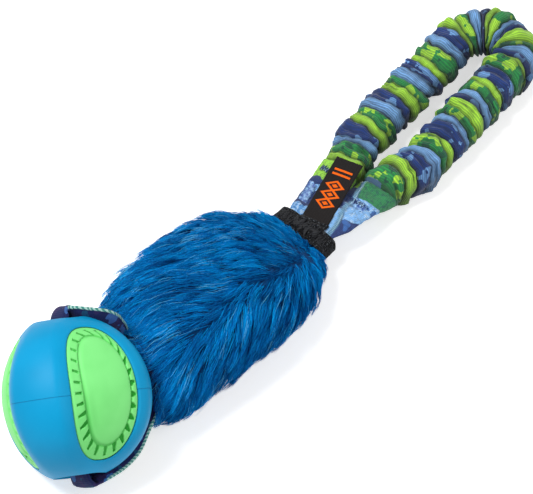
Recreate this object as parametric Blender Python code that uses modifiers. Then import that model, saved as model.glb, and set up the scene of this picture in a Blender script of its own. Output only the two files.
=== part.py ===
"""Bungee tug toy: a rubber ball on a strap, a fur sleeve, and a ruched elastic loop handle.

Metres, +Z up. The toy lies on its side on a flat surface, as it does when it is put down.
The origin is on the flat underside of the fur sleeve. +X runs from the ball to the handle,
and +Y is to the left. The ball's own pieces are modelled about its centre, with the strap
hole along their Z, and are placed by an empty that stands on the hole's axis.
"""

import math

import bmesh
import bpy
from mathutils import Matrix, Vector

# Clearances
GAP = 0.0003
OVERRUN = 0.004
WELD_DISTANCE = 0.000002

# Ball, three flattened sides round a strap hole
BALL_RADIUS = 0.035
BALL_TO_MOUTH = 0.004
HOLE_RADIUS = 0.0088
HOLE_MOUTH_RADIUS = 0.0118
SIDE_FLAT_DEPTH = 0.0085
SIDE_ARC_EXTRA = 0.011
INSERT_COUNT = 3
POLE_TURN = math.radians(51.3)
POLE_RISE = math.radians(36.4)
FIRST_SIDE_ROLL = math.radians(210.0)

# Soft inserts let into the flattened sides
INSERT_SIDE_RIM = 0.00605
INSERT_END_RIM = 0.0071
INSERT_DEPTH = 0.0045
INSERT_CROWN = 0.0019
INSERT_EDGE_DROP = 0.0004
MOAT_DEPTH = 0.0011
OVAL_POWER = 2.3

# Strap through the ball
STRAP_WIDTH = 0.014
STRAP_THICKNESS = 0.003
STRAP_WALL = 0.0007
STRAP_ROOT_SPACING = 0.0155

# Fur sleeve
SLEEVE_HEIGHT = 0.046
SLEEVE_HALF_WIDTH = 0.0352
SLEEVE_LEAN = 0.0030
MOUTH_TO_MIDDLE = 0.0460
MOUTH_SLANT = 0.38
MOUTH_BOW = 0.0050
FLAT_CUT = 0.0005

# Webbing down the middle of the sleeve
CORE_HEIGHT = 0.022
CORE_THICKNESS = 0.0022
CORE_END_THICKNESS = 0.0016
CORE_END_WIDTH = 0.0205
STRAP_FOLD_TO_MIDDLE = 0.023

# Binding tape
BINDING_TO_MIDDLE = 0.062
BINDING_LENGTH = 0.0092
BINDING_HALF_WIDTH = 0.0152
BINDING_HALF_HEIGHT = 0.0050
BINDING_WALL = 0.0013
BINDING_HEIGHT = 0.012

# Handle loop, two ruched strands and a bend
HANDLE_TURN = math.radians(5.3)
HANDLE_SHIFT = 0.0014
STRAND_RADIUS = 0.0105
STRAND_HALF_SPACING = 0.0142
STRAND_START = 0.039
STRAND_START_OFFSET = 0.0107
STRAND_LEAD = 0.003
STRAND_STRAIGHT_FROM = 0.058
STRAND_END = 0.126
BEND_REACH = 0.0165
BEND_LEAD = 0.0012
STRAND_RIBS = 10
BEND_RIBS = 11
BORE_RADIUS = 0.0052
BUNGEE_RADIUS = 0.0042

# Flat sewn bases between the binding and the strands
BASE_WIDTH = 0.0178
BASE_ROOT_WIDTH = 0.0148
BASE_ROOT_THICKNESS = 0.0022
BASE_MID_THICKNESS = 0.0036
BASE_END_THICKNESS = 0.0090
BASE_WALL = 0.0006
BASE_ROOT_INSET = 0.0036
LEFT_ROOT_OFFSET = 0.0042
RIGHT_ROOT_OFFSET = -0.0026

# Woven label
LABEL_WIDTH = 0.0124
LABEL_LENGTH = 0.0337
LABEL_THICKNESS = 0.0007
LABEL_TURN = math.radians(15.2)
LABEL_RISE = math.radians(7.0)
LABEL_ROOT_OFFSET = -0.0012
LABEL_STANDOFF = 0.0008

# Sewing threads
THREAD_RADIUS = 0.0004
BINDING_ZIGZAGS = 13
BINDING_ZIGZAG_REACH = 0.0030
BARTACK_ZIGZAGS = 9
BARTACK_REACH = 0.0022
BARTACK_HALF_WIDTH = 0.0062
BARTACK_FROM_STRAND = 0.0085
CORE_BOX_LENGTH = 0.010
CORE_BOX_INSET = 0.003
SEAM_WAVES = 14
SEAM_SWING = 0.0012

# Facet counts
BALL_SEGMENTS = 48
BALL_RINGS = 26
HOLE_STEPS = 32
OVAL_POINTS = 48
SLEEVE_POINTS = 32
BAND_POINTS = 12
STRAND_SIDES = 2
THREAD_SIDES = 1

# Derived sizes and places
SIDE_REACH = BALL_RADIUS - SIDE_FLAT_DEPTH
SIDE_ARC_RADIUS = BALL_RADIUS + SIDE_ARC_EXTRA
INSERT_HALF_WIDTH = math.sqrt(BALL_RADIUS ** 2 - SIDE_REACH ** 2) - INSERT_SIDE_RIM
INSERT_HALF_LENGTH = BALL_RADIUS - INSERT_END_RIM
WRAP_RADIUS = BALL_RADIUS + STRAP_THICKNESS / 2 + GAP
BALL_CENTRE = Vector((-MOUTH_TO_MIDDLE - BALL_TO_MOUTH - BALL_RADIUS, 0.0, BALL_RADIUS))
POLE = Vector((
    math.cos(POLE_RISE) * math.cos(POLE_TURN),
    math.cos(POLE_RISE) * math.sin(POLE_TURN),
    math.sin(POLE_RISE),
))
STRAP_FOLD = Vector((-STRAP_FOLD_TO_MIDDLE, 0.0, CORE_HEIGHT))
BINDING_BACK = BINDING_TO_MIDDLE - BINDING_LENGTH / 2
BINDING_FRONT = BINDING_TO_MIDDLE + BINDING_LENGTH / 2
LABEL_HEIGHT = (
    BINDING_HEIGHT + CORE_END_THICKNESS / 2 + BASE_ROOT_THICKNESS + 2 * GAP + LABEL_THICKNESS / 2
)
HANDLE_FOLD = Vector((BINDING_FRONT + LABEL_STANDOFF, 0.0, LABEL_HEIGHT))
STRAND_HEIGHT = STRAND_RADIUS - FLAT_CUT

PARTS = None
CUTTERS = None


def clear_scene():
    """Remove whatever the file holds and make the two collections."""
    global PARTS, CUTTERS
    for old in list(bpy.data.objects):
        bpy.data.objects.remove(old, do_unlink=True)
    PARTS = bpy.data.collections.new("bungee_tug_toy")
    CUTTERS = bpy.data.collections.new("cutters")
    bpy.context.scene.collection.children.link(PARTS)
    bpy.context.scene.collection.children.link(CUTTERS)


def finish(obj, colour, roughness):
    """Give a sub-part its own material."""
    material = bpy.data.materials.new(obj.name)
    material.use_nodes = True
    shader = material.node_tree.nodes["Principled BSDF"]
    shader.inputs["Base Color"].default_value = (*colour, 1.0)
    shader.inputs["Roughness"].default_value = roughness
    shader.inputs["Metallic"].default_value = 0.0
    obj.data.materials.clear()
    obj.data.materials.append(material)


def empty_at(name, matrix):
    """An empty on a joint's axis, which carries the pieces that the joint moves."""
    empty = bpy.data.objects.new(name, None)
    PARTS.objects.link(empty)
    empty.matrix_world = matrix
    return empty


def carry(obj, empty):
    """Parent a piece that is modelled in place, without moving it."""
    obj.parent = empty
    obj.matrix_parent_inverse = empty.matrix_world.inverted()


def object_from(name, work, collection):
    """Turn a bmesh into a named, smooth-shaded object."""
    mesh = bpy.data.meshes.new(name)
    work.to_mesh(mesh)
    work.free()
    mesh.shade_smooth()
    mesh.set_sharp_from_angle(angle=math.radians(40.0))
    obj = bpy.data.objects.new(name, mesh)
    collection.objects.link(obj)
    return obj


def as_cutter(obj):
    """Hide a cutter from renders and from the parts."""
    obj.hide_render = True
    obj.display_type = "WIRE"
    return obj


def cut(obj, cutter):
    """Take a cutter's shape out of a piece."""
    step = obj.modifiers.new("cut_" + cutter.name, "BOOLEAN")
    step.operation = "DIFFERENCE"
    step.solver = "EXACT"
    step.object = cutter


def skin(name, rings, collection, caps=True, wrap=False):
    """Join rings of equal point counts into one surface, with fans over its ends."""
    work = bmesh.new()
    rows = [[work.verts.new(point) for point in ring] for ring in rings]
    count = len(rows[0])
    pairs = list(zip(rows, rows[1:]))
    if wrap:
        pairs.append((rows[-1], rows[0]))
    for near, far in pairs:
        for i in range(count):
            j = (i + 1) % count
            work.faces.new((near[i], near[j], far[j], far[i]))
    if caps and not wrap:
        for row in (rows[0], rows[-1]):
            middle = work.verts.new(sum((v.co for v in row), Vector()) / count)
            for i in range(count):
                work.faces.new((row[i], row[(i + 1) % count], middle))
    bmesh.ops.recalc_face_normals(work, faces=work.faces)
    return object_from(name, work, collection)


def hollow(obj, wall):
    """Give an open-ended skin a wall on its inner side."""
    shell = obj.modifiers.new("wall", "SOLIDIFY")
    shell.thickness = wall
    shell.offset = -1.0
    shell.use_even_offset = True


def oval(centre, side, up, half_width, half_height, power, count):
    """A ring of points on a superellipse."""
    ring = []
    for i in range(count):
        angle = 2 * math.pi * i / count
        across = math.copysign(abs(math.cos(angle)) ** (2 / power), math.cos(angle))
        rise = math.copysign(abs(math.sin(angle)) ** (2 / power), math.sin(angle))
        ring.append(centre + side * (half_width * across) + up * (half_height * rise))
    return ring


def tube(name, points, radius, shares, sides, collection, cyclic=False):
    """A bevelled curve through the points, made a mesh with welded caps."""
    curve = bpy.data.curves.new(name, "CURVE")
    curve.dimensions = "3D"
    curve.bevel_depth = radius
    curve.bevel_resolution = sides
    curve.use_fill_caps = True
    spline = curve.splines.new("POLY")
    spline.points.add(len(points) - 1)
    for slot, point, share in zip(spline.points, points, shares):
        slot.co = (*point, 1.0)
        slot.radius = share
    spline.use_cyclic_u = cyclic
    guide = bpy.data.objects.new(name + "_curve", curve)
    collection.objects.link(guide)
    seen = guide.evaluated_get(bpy.context.evaluated_depsgraph_get())
    mesh = bpy.data.meshes.new_from_object(seen)
    work = bmesh.new()
    work.from_mesh(mesh)
    work.transform(guide.matrix_world)
    bmesh.ops.remove_doubles(work, verts=work.verts, dist=WELD_DISTANCE)
    bmesh.ops.recalc_face_normals(work, faces=work.faces)
    bpy.data.objects.remove(guide)
    return object_from(name, work, collection)


def thread(name, points):
    """A sewing thread along hand-worked points."""
    piece = tube(name, points, THREAD_RADIUS, [1.0] * len(points), THREAD_SIDES, PARTS)
    return piece


def smooth_route(points, per_span):
    """A Catmull-Rom curve through the points."""
    ends = [2 * points[0] - points[1], *points, 2 * points[-1] - points[-2]]
    route = []
    for a, b, c, d in zip(ends, ends[1:], ends[2:], ends[3:]):
        for i in range(per_span):
            t = i / per_span
            route.append(
                0.5 * (2 * b + (c - a) * t + (2 * a - 5 * b + 4 * c - d) * t ** 2
                       + (3 * b - a - 3 * c + d) * t ** 3)
            )
    route.append(points[-1].copy())
    return route


def ease(share):
    """Smooth step from 0 to 1."""
    share = min(max(share, 0.0), 1.0)
    return share * share * (3 - 2 * share)


def mix(a, b, share):
    """Value between two others."""
    return a + (b - a) * share


def table(shares, share):
    """Read a column of (place, value) shares, joined by straight lines."""
    for (x0, y0), (x1, y1) in zip(shares, shares[1:]):
        if share <= x1:
            return mix(y0, y1, (share - x0) / (x1 - x0))
    return shares[-1][1]


def side_depth(along):
    """How far a flattened side stands off the hole's axis, at a place along that axis."""
    return SIDE_REACH - SIDE_ARC_RADIUS + math.sqrt(SIDE_ARC_RADIUS ** 2 - along ** 2)


def oval_layer(share, grow, lift):
    """One oval of an insert: a share of its outline, a height over the flattened side."""
    ring = oval(
        Vector(), Vector((0.0, 1.0, 0.0)), Vector((0.0, 0.0, 1.0)),
        (INSERT_HALF_WIDTH + grow) * share, (INSERT_HALF_LENGTH + grow) * share,
        OVAL_POWER, OVAL_POINTS,
    )
    return [Vector((side_depth(p.z) + lift, p.y, p.z)) for p in ring]


def make_insert(number):
    """One soft insert: a crowned oval plate with a moat round its raised middle."""
    crown_shares = ((0.28, 0.97, 0), (0.54, 0.80, 0), (0.60, 0.66, 0), (0.635, 0.62, 1),
                    (0.69, 0.52, 1), (0.72, 0.46, 0), (0.86, 0.26, 0), (0.97, 0.05, 0))
    rings = []
    for outline, crown, sunk in crown_shares:
        rings.append(oval_layer(outline, 0.0, crown * INSERT_CROWN - sunk * MOAT_DEPTH))
    rings.append(oval_layer(1.0, 0.0, -INSERT_EDGE_DROP))
    rings.append(oval_layer(1.0, 0.0, -INSERT_DEPTH))
    rings.append(oval_layer(crown_shares[0][0], 0.0, -INSERT_DEPTH))
    return skin(f"ball_insert_{number}", rings, PARTS)


def make_pocket(number):
    """The recess that an insert sits in."""
    floor = -INSERT_DEPTH - GAP
    rings = [
        oval_layer(0.25, GAP, floor),
        oval_layer(1.0, GAP, floor),
        oval_layer(1.0, GAP, OVERRUN),
        oval_layer(0.25, GAP, OVERRUN),
    ]
    return as_cutter(skin(f"pocket_{number}", rings, CUTTERS))


def make_side_cutter(number):
    """A block with a slightly hollow face, which flattens one side of the ball."""
    reach = BALL_RADIUS + OVERRUN
    steps = 16
    outline = []
    for i in range(steps + 1):
        along = mix(-reach, reach, i / steps)
        outline.append(Vector((side_depth(along), 0.0, along)))
    outline.append(Vector((reach, 0.0, reach)))
    outline.append(Vector((reach, 0.0, -reach)))
    work = bmesh.new()
    face = work.faces.new([work.verts.new(p - Vector((0.0, reach, 0.0))) for p in outline])
    grown = bmesh.ops.extrude_face_region(work, geom=[face])
    moved = [v for v in grown["geom"] if isinstance(v, bmesh.types.BMVert)]
    bmesh.ops.translate(work, verts=moved, vec=Vector((0.0, 2 * reach, 0.0)))
    bmesh.ops.recalc_face_normals(work, faces=work.faces)
    return as_cutter(object_from(f"flat_side_{number}", work, CUTTERS))


def make_hole_cutter():
    """The strap hole, turned about the ball's axis, with flared mouths."""
    far = BALL_RADIUS + OVERRUN
    flare_shares = ((0.70, 0.0), (0.82, 0.18), (0.92, 0.55), (1.0, 1.0))
    upper = []
    for along, opened in reversed(flare_shares):
        radius = mix(HOLE_RADIUS, HOLE_MOUTH_RADIUS, opened)
        upper.append((radius, BALL_RADIUS * along))
    upper.insert(0, (HOLE_MOUTH_RADIUS, far))
    profile = [(0.0, far), *upper, *[(r, -z) for r, z in reversed(upper)], (0.0, -far)]
    work = bmesh.new()
    verts = [work.verts.new((radius, 0.0, along)) for radius, along in profile]
    for a, b in zip(verts, verts[1:]):
        work.edges.new((a, b))
    mesh = bpy.data.meshes.new("strap_hole")
    work.to_mesh(mesh)
    work.free()
    cutter = bpy.data.objects.new("strap_hole", mesh)
    CUTTERS.objects.link(cutter)
    turn = cutter.modifiers.new("turn", "SCREW")
    turn.axis = "Z"
    turn.steps = HOLE_STEPS
    turn.render_steps = HOLE_STEPS
    turn.use_merge_vertices = True
    turn.merge_threshold = WELD_DISTANCE
    return as_cutter(cutter)


def make_ball():
    """The rubber ball and its three inserts, on an empty on the hole's axis."""
    turn = Matrix.Rotation(POLE_TURN, 4, "Z")
    tilt = Matrix.Rotation(math.pi / 2 - POLE_RISE, 4, "Y")
    roll = Matrix.Rotation(FIRST_SIDE_ROLL, 4, "Z")
    axle = empty_at("ball_axis", Matrix.Translation(BALL_CENTRE) @ turn @ tilt @ roll)
    work = bmesh.new()
    bmesh.ops.create_uvsphere(
        work, u_segments=BALL_SEGMENTS, v_segments=BALL_RINGS, radius=BALL_RADIUS
    )
    body = object_from("ball_body", work, PARTS)
    body.parent = axle
    finish(body, (0.012, 0.30, 0.67), 0.38)
    for number in range(1, INSERT_COUNT + 1):
        spin = Matrix.Rotation(2 * math.pi * (number - 1) / INSERT_COUNT, 4, "Z")
        for cutter in (make_side_cutter(number), make_pocket(number)):
            cutter.parent = axle
            cutter.matrix_local = spin
            cut(body, cutter)
        insert = make_insert(number)
        insert.parent = axle
        insert.matrix_local = spin
        finish(insert, (0.23, 0.86, 0.25), 0.45)
    hole = make_hole_cutter()
    hole.parent = axle
    cut(body, hole)


def strap_points():
    """The strap's middle line: in the sleeve, round to the hole, through it, and back."""
    top_mouth_shares = ((0.25, 0.535, 0.017), (0.58, 0.60, 0.098), (0.85, 0.69, 0.205),
                        (1.0, 0.73, 0.410))
    top_ball_shares = ((0.4908, 0.6325, 0.1855), (0.6848, 0.3804, 0.1617), (0.856, 0.195, 0.0856),
                       (0.9368, 0.0904, 0.038), (0.9102, 0.019, 0.0076), (0.7989, 0.0, 0.0),
                       (0.6277, 0.0, 0.0), (0.428, 0.0, 0.0))
    low_ball_shares = ((0.428, 0.0, 0.0), (0.6467, 0.0, 0.0), (0.8179, 0.0, 0.0),
                       (0.9701, 0.038, -0.019), (1.0652, 0.1617, -0.0571),
                       (1.1318, 0.4755, -0.0285), (1.1223, 0.8179, 0.0),
                       (0.9701, 1.0462, 0.0105))
    low_mouth_shares = ((1.29, -1.16, -0.098), (0.917, -0.87, -0.048), (0.5, -0.645, -0.013),
                        (0.25, -0.54, -0.002))

    def by_ball(row, pole):
        out, along, rise = row
        offset = pole * out + Vector((along, 0.0, rise))
        return BALL_CENTRE + WRAP_RADIUS * offset

    def in_mouth(row):
        along, across, rise = row
        return Vector((
            mix(STRAP_FOLD.x, -MOUTH_TO_MIDDLE, along),
            STRAP_ROOT_SPACING * across,
            CORE_HEIGHT + SLEEVE_HEIGHT * rise,
        ))

    side = Vector((0.0, STRAP_ROOT_SPACING / 2, 0.0))
    points = [STRAP_FOLD + side]
    points += [in_mouth(row) for row in top_mouth_shares]
    points += [by_ball(row, POLE) for row in top_ball_shares]
    points += [by_ball(row, -POLE) for row in low_ball_shares]
    points += [in_mouth(row) for row in low_mouth_shares]
    points.append(STRAP_FOLD - side)
    return points


def band_rings(route, sides, width, thickness, count, power=4.0):
    """Rings of a flat band along a route, with its width along the given sides."""
    rings = []
    for i, (middle, side) in enumerate(zip(route, sides)):
        ahead = route[min(i + 1, len(route) - 1)]
        behind = route[max(i - 1, 0)]
        tangent = (ahead - behind).normalized()
        across = (side - tangent * side.dot(tangent)).normalized()
        up = tangent.cross(across)
        rings.append(oval(middle, across, up, width / 2, thickness / 2, power, count))
    return rings


def make_strap():
    """The fabric strap cover and the webbing inside it, one loop through the ball."""
    fold = empty_at("strap_fold", Matrix.Translation(STRAP_FOLD))
    route = smooth_route(strap_points(), 3)
    loop_side = POLE.cross(Vector((1.0, 0.0, 0.0))).normalized()
    flat_side = Vector((0.0, 1.0, 0.0))
    sides = []
    for i in range(len(route)):
        from_root = min(i, len(route) - 1 - i) / 9
        side = flat_side.lerp(loop_side, ease(from_root))
        sides.append(side)
    outer = band_rings(route, sides, STRAP_WIDTH, STRAP_THICKNESS, BAND_POINTS)
    walls = 2 * STRAP_WALL
    inner = band_rings(route, sides, STRAP_WIDTH - walls, STRAP_THICKNESS - walls, BAND_POINTS)
    cover = skin("strap_cover", outer + inner[::-1], PARTS, wrap=True)
    finish(cover, (0.05, 0.09, 0.33), 0.85)
    carry(cover, fold)
    room = walls + 3 * GAP
    webbing = skin(
        "strap_webbing",
        band_rings(route, sides, STRAP_WIDTH - room, STRAP_THICKNESS - room, BAND_POINTS),
        PARTS,
    )
    finish(webbing, (0.02, 0.02, 0.03), 0.8)
    carry(webbing, fold)


def core_height(x):
    """Height of the webbing's middle, falling from the strap fold to the binding."""
    share = (x + STRAP_FOLD_TO_MIDDLE) / (BINDING_BACK + STRAP_FOLD_TO_MIDDLE)
    return mix(CORE_HEIGHT, BINDING_HEIGHT, ease(share))


def core_half_width(x):
    """Half width of the webbing, wide over the two strap ends and narrow in the binding."""
    start = STRAP_ROOT_SPACING / 2 + STRAP_WIDTH / 2
    share = (x + STRAP_FOLD_TO_MIDDLE) / (BINDING_BACK + STRAP_FOLD_TO_MIDDLE)
    return mix(start, CORE_END_WIDTH / 2, ease(share * 1.6))


def core_thickness(x):
    """Thickness of the webbing, pressed flat in the binding."""
    share = (x + STRAP_FOLD_TO_MIDDLE) / (BINDING_BACK + STRAP_FOLD_TO_MIDDLE)
    return mix(CORE_THICKNESS, CORE_END_THICKNESS, ease(share * 1.3 - 0.3))


def sleeve_rings():
    """Outer rings of the fur sleeve, from its slanted mouth to its neck in the binding."""
    width_shares = ((0.0, 0.80), (0.03, 0.86), (0.10, 0.90), (0.25, 0.94), (0.46, 0.975),
                    (0.62, 0.97), (0.76, 0.89), (0.87, 0.73), (0.93, 0.56), (0.955, 0.385),
                    (1.0, 0.385))
    top_shares = ((0.0, 0.86), (0.03, 0.92), (0.10, 0.96), (0.28, 0.99), (0.46, 0.98),
                  (0.62, 0.90), (0.76, 0.76), (0.87, 0.58), (0.93, 0.445), (0.955, 0.33),
                  (1.0, 0.33))
    low_shares = ((0.0, 0.10), (0.03, 0.045), (0.10, 0.0), (0.70, 0.0), (0.80, 0.02),
                  (0.87, 0.07), (0.93, 0.13), (0.955, 0.19), (1.0, 0.19))
    lean_shares = ((0.0, 0.0), (0.5, 0.2), (0.75, 0.0), (0.955, 0.0), (1.0, 0.0))
    place_shares = (0.0, 0.03, 0.10, 0.18, 0.28, 0.38, 0.47, 0.56, 0.65, 0.73, 0.80, 0.87,
                    0.93, 0.955, 1.0)
    start = -MOUTH_TO_MIDDLE
    end = BINDING_TO_MIDDLE - BINDING_LENGTH / 6
    rings = []
    for share in place_shares:
        x = mix(start, end, share)
        half_width = SLEEVE_HALF_WIDTH * table(width_shares, share)
        full = SLEEVE_HEIGHT + FLAT_CUT
        top = full * table(top_shares, share) - FLAT_CUT
        low = full * table(low_shares, share) - FLAT_CUT
        middle = Vector((x, -SLEEVE_LEAN * table(lean_shares, share), (top + low) / 2))
        if share >= place_shares[-2]:
            half_width = BINDING_HALF_WIDTH - BINDING_WALL - GAP
            room = BINDING_HALF_HEIGHT - BINDING_WALL - GAP
            middle.z = BINDING_HEIGHT
            top = middle.z + room
            low = middle.z - room
        slant = MOUTH_SLANT * (1 - ease(share / 0.55))
        ring = oval(
            middle, Vector((slant, 1.0, 0.0)), Vector((0.0, 0.0, 1.0)),
            half_width, (top - low) / 2, 2.35, SLEEVE_POINTS,
        )
        bow = MOUTH_BOW * (1 - ease(share / 0.4))
        for point in ring:
            point.x += bow * ((point.z - middle.z) * 2 / SLEEVE_HEIGHT) ** 2
        rings.append(ring)
    return rings


def make_passage():
    """The sleeve's open mouth, narrowing to a slot for the webbing."""
    flare_shares = ((0.0, 1.0), (0.45, 1.0), (0.68, 0.72), (1.0, 0.0))
    fold_x = STRAP_FOLD.x
    start = -MOUTH_TO_MIDDLE - BALL_RADIUS / 2
    slot_from = fold_x + STRAP_THICKNESS
    wide = SLEEVE_HALF_WIDTH * 0.74
    high = SLEEVE_HEIGHT * 0.345
    rings = []
    for share, opened in flare_shares:
        x = mix(start, slot_from, share)
        narrow = core_half_width(slot_from) + 2 * GAP
        low = core_thickness(slot_from) / 2 + 4 * THREAD_RADIUS
        middle = Vector((x, SLEEVE_LEAN * 0.3 * opened, CORE_HEIGHT))
        rings.append(oval(
            middle, Vector((MOUTH_SLANT * opened, 1.0, 0.0)), Vector((0.0, 0.0, 1.0)),
            mix(narrow, wide, opened), mix(low, high, opened), 2.6, SLEEVE_POINTS,
        ))
    slot_shares = (0.15, 0.35, 0.55, 0.75, 0.88, 1.0)
    for share in slot_shares:
        x = mix(slot_from, BINDING_BACK, share)
        extra = 4 * THREAD_RADIUS * (1 - ease(share)) + 2 * GAP
        middle = Vector((x, 0.0, core_height(x)))
        rings.append(oval(
            middle, Vector((0.0, 1.0, 0.0)), Vector((0.0, 0.0, 1.0)),
            core_half_width(x) + 3 * GAP, core_thickness(x) / 2 + extra, 5.0, SLEEVE_POINTS,
        ))
    last = Vector((BINDING_FRONT, 0.0, BINDING_HEIGHT))
    rings.append(oval(
        last, Vector((0.0, 1.0, 0.0)), Vector((0.0, 0.0, 1.0)),
        core_half_width(last.x) + 3 * GAP, core_thickness(last.x) / 2 + 2 * GAP, 5.0,
        SLEEVE_POINTS,
    ))
    return as_cutter(skin("sleeve_passage", rings, CUTTERS))


def make_floor_cutter():
    """A block under the resting plane, which flattens what the toy lies on."""
    work = bmesh.new()
    bmesh.ops.create_cube(work, size=1.0)
    length = 2 * (BALL_RADIUS - BALL_CENTRE.x + BINDING_TO_MIDDLE + STRAND_END)
    depth = 2 * STRAND_RADIUS
    bmesh.ops.scale(work, verts=work.verts, vec=Vector((length, length, depth)))
    bmesh.ops.translate(work, verts=work.verts, vec=Vector((0.0, 0.0, -depth / 2)))
    return as_cutter(object_from("resting_plane", work, CUTTERS))


def make_sleeve(floor):
    """The fur sleeve: swollen near the ball, tapering to the binding, open at its mouth."""
    sleeve = skin("fur_sleeve", sleeve_rings(), PARTS)
    cut(sleeve, make_passage())
    cut(sleeve, floor)
    finish(sleeve, (0.002, 0.125, 0.34), 0.9)


def make_core():
    """The webbing in the sleeve, from the strap's ends to the binding, with its sewing."""
    stations = 14
    start = STRAP_FOLD.x + STRAP_THICKNESS / 2 + GAP
    end = BINDING_FRONT - GAP
    rings = []
    for i in range(stations):
        x = mix(start, end, i / (stations - 1))
        rings.append(oval(
            Vector((x, 0.0, core_height(x))), Vector((0.0, 1.0, 0.0)), Vector((0.0, 0.0, 1.0)),
            core_half_width(x), core_thickness(x) / 2, 5.0, BAND_POINTS,
        ))
    core = skin("core_webbing", rings, PARTS)
    finish(core, (0.02, 0.02, 0.03), 0.8)
    near = start + CORE_BOX_INSET
    far = near + CORE_BOX_LENGTH
    reach = core_half_width(near) - CORE_BOX_INSET
    corners = ((near, -reach), (far, -reach), (far, reach), (near, reach), (near, -reach * 0.6),
               (far, reach * 0.6))
    points = []
    for x, y in corners:
        points.append(Vector((x, y, core_height(x) + core_thickness(x) / 2 + GAP + THREAD_RADIUS)))
    sewing = thread("core_stitching", points)
    finish(sewing, (0.01, 0.01, 0.012), 0.6)


def make_seam():
    """The overcast seam that closes the sleeve, on the inner side of its back."""
    count = 2 * SEAM_WAVES
    start = STRAP_FOLD.x + 2 * CORE_BOX_LENGTH
    end = mix(start, BINDING_BACK, 0.55)
    points = []
    for i in range(count + 1):
        x = mix(start, end, i / count)
        swing = SEAM_SWING if i % 2 else -SEAM_SWING
        top = core_height(x) + core_thickness(x) / 2
        points.append(Vector((x, swing, top + GAP + THREAD_RADIUS)))
    seam = thread("sleeve_seam_thread", points)
    finish(seam, (0.01, 0.08, 0.22), 0.6)


def binding_top(y):
    """Height of the binding's outer face at a place across it."""
    share = min(abs(y) / BINDING_HALF_WIDTH, 1.0)
    return BINDING_HEIGHT + BINDING_HALF_HEIGHT * (1 - share ** 4) ** 0.25


def make_binding():
    """The tape wrapped round the neck, and the zigzag sewing over it."""
    edge_shares = ((0.0, 0.90), (0.10, 1.0), (0.90, 1.0), (1.0, 0.90))
    side = Vector((0.0, 1.0, 0.0))
    up = Vector((0.0, 0.0, 1.0))
    rings = []
    for along, full in edge_shares:
        middle = Vector((mix(BINDING_BACK, BINDING_FRONT, along), 0.0, BINDING_HEIGHT))
        drop = (1 - full) * BINDING_HALF_HEIGHT
        rings.append(oval(
            middle, side, up, BINDING_HALF_WIDTH - drop, BINDING_HALF_HEIGHT - drop, 4.0,
            SLEEVE_POINTS,
        ))
    for x in (BINDING_FRONT, BINDING_BACK):
        rings.append(oval(
            Vector((x, 0.0, BINDING_HEIGHT)), side, up, BINDING_HALF_WIDTH - BINDING_WALL,
            BINDING_HALF_HEIGHT - BINDING_WALL, 5.0, SLEEVE_POINTS,
        ))
    tape = skin("binding_tape", rings, PARTS, wrap=True)
    finish(tape, (0.012, 0.011, 0.011), 0.75)
    count = 2 * BINDING_ZIGZAGS
    reach = BINDING_HALF_WIDTH * 0.84
    points = []
    for i in range(count + 1):
        y = mix(-reach, reach, i / count)
        swing = BINDING_ZIGZAG_REACH if i % 2 else -BINDING_ZIGZAG_REACH
        points.append(Vector((BINDING_TO_MIDDLE + swing, y, binding_top(y) + GAP + THREAD_RADIUS)))
    sewing = thread("binding_thread", points)
    finish(sewing, (0.010, 0.010, 0.012), 0.55)


def on_handle(along, across, height):
    """A place on the handle: along its middle line from the binding, and across it."""
    return Vector((
        BINDING_TO_MIDDLE + along * math.cos(HANDLE_TURN) - across * math.sin(HANDLE_TURN),
        -HANDLE_SHIFT + along * math.sin(HANDLE_TURN) + across * math.cos(HANDLE_TURN),
        height,
    ))


def strand_offset(along):
    """Distance of a strand's middle from the handle's middle line."""
    share = (along - STRAND_START - STRAND_LEAD) / (STRAND_STRAIGHT_FROM - STRAND_START)
    return mix(STRAND_START_OFFSET, STRAND_HALF_SPACING, ease(share))


def ruched_shares(count, start_shares=()):
    """Radius shares of a bunched tube: a crest and a valley for each rib."""
    crest_shares = (1.0, 0.985, 1.0, 0.97, 0.99)
    valley_shares = (0.82, 0.85, 0.80, 0.84)
    shares = list(start_shares)
    for i in range(len(start_shares) // 2, count):
        shares.append(crest_shares[i % len(crest_shares)])
        shares.append(valley_shares[i % len(valley_shares)])
    return shares


def make_strand(side_name, side, floor, fold):
    """One ruched strand with its bungee cord, from the sewn base to the bend."""
    points = []
    for i in range(2 * STRAND_RIBS):
        along = mix(STRAND_START, STRAND_END - GAP, i / (2 * STRAND_RIBS - 1))
        points.append(on_handle(along, side * strand_offset(along), STRAND_HEIGHT))
    ruched = tube(
        f"ruched_tube_{side_name}", points, STRAND_RADIUS,
        ruched_shares(STRAND_RIBS, (0.86, 0.80, 0.92, 0.80)), STRAND_SIDES, PARTS,
    )
    ends = [points[0] + (points[0] - points[1]).normalized() * OVERRUN, *points[2:-2:3],
            points[-1] + (points[-1] - points[-2]).normalized() * OVERRUN]
    bore = as_cutter(tube(
        f"bore_{side_name}", ends, BORE_RADIUS, [1.0] * len(ends), STRAND_SIDES, CUTTERS
    ))
    cut(ruched, bore)
    cut(ruched, floor)
    finish(ruched, (0.10, 0.36, 0.10), 0.9)
    carry(ruched, fold)
    inner = [points[0], *points[2:-2:3], points[-1]]
    bungee = tube(
        f"bungee_core_{side_name}", inner, BUNGEE_RADIUS, [1.0] * len(inner), STRAND_SIDES, PARTS
    )
    finish(bungee, (0.02, 0.02, 0.02), 0.7)
    carry(bungee, fold)


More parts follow.
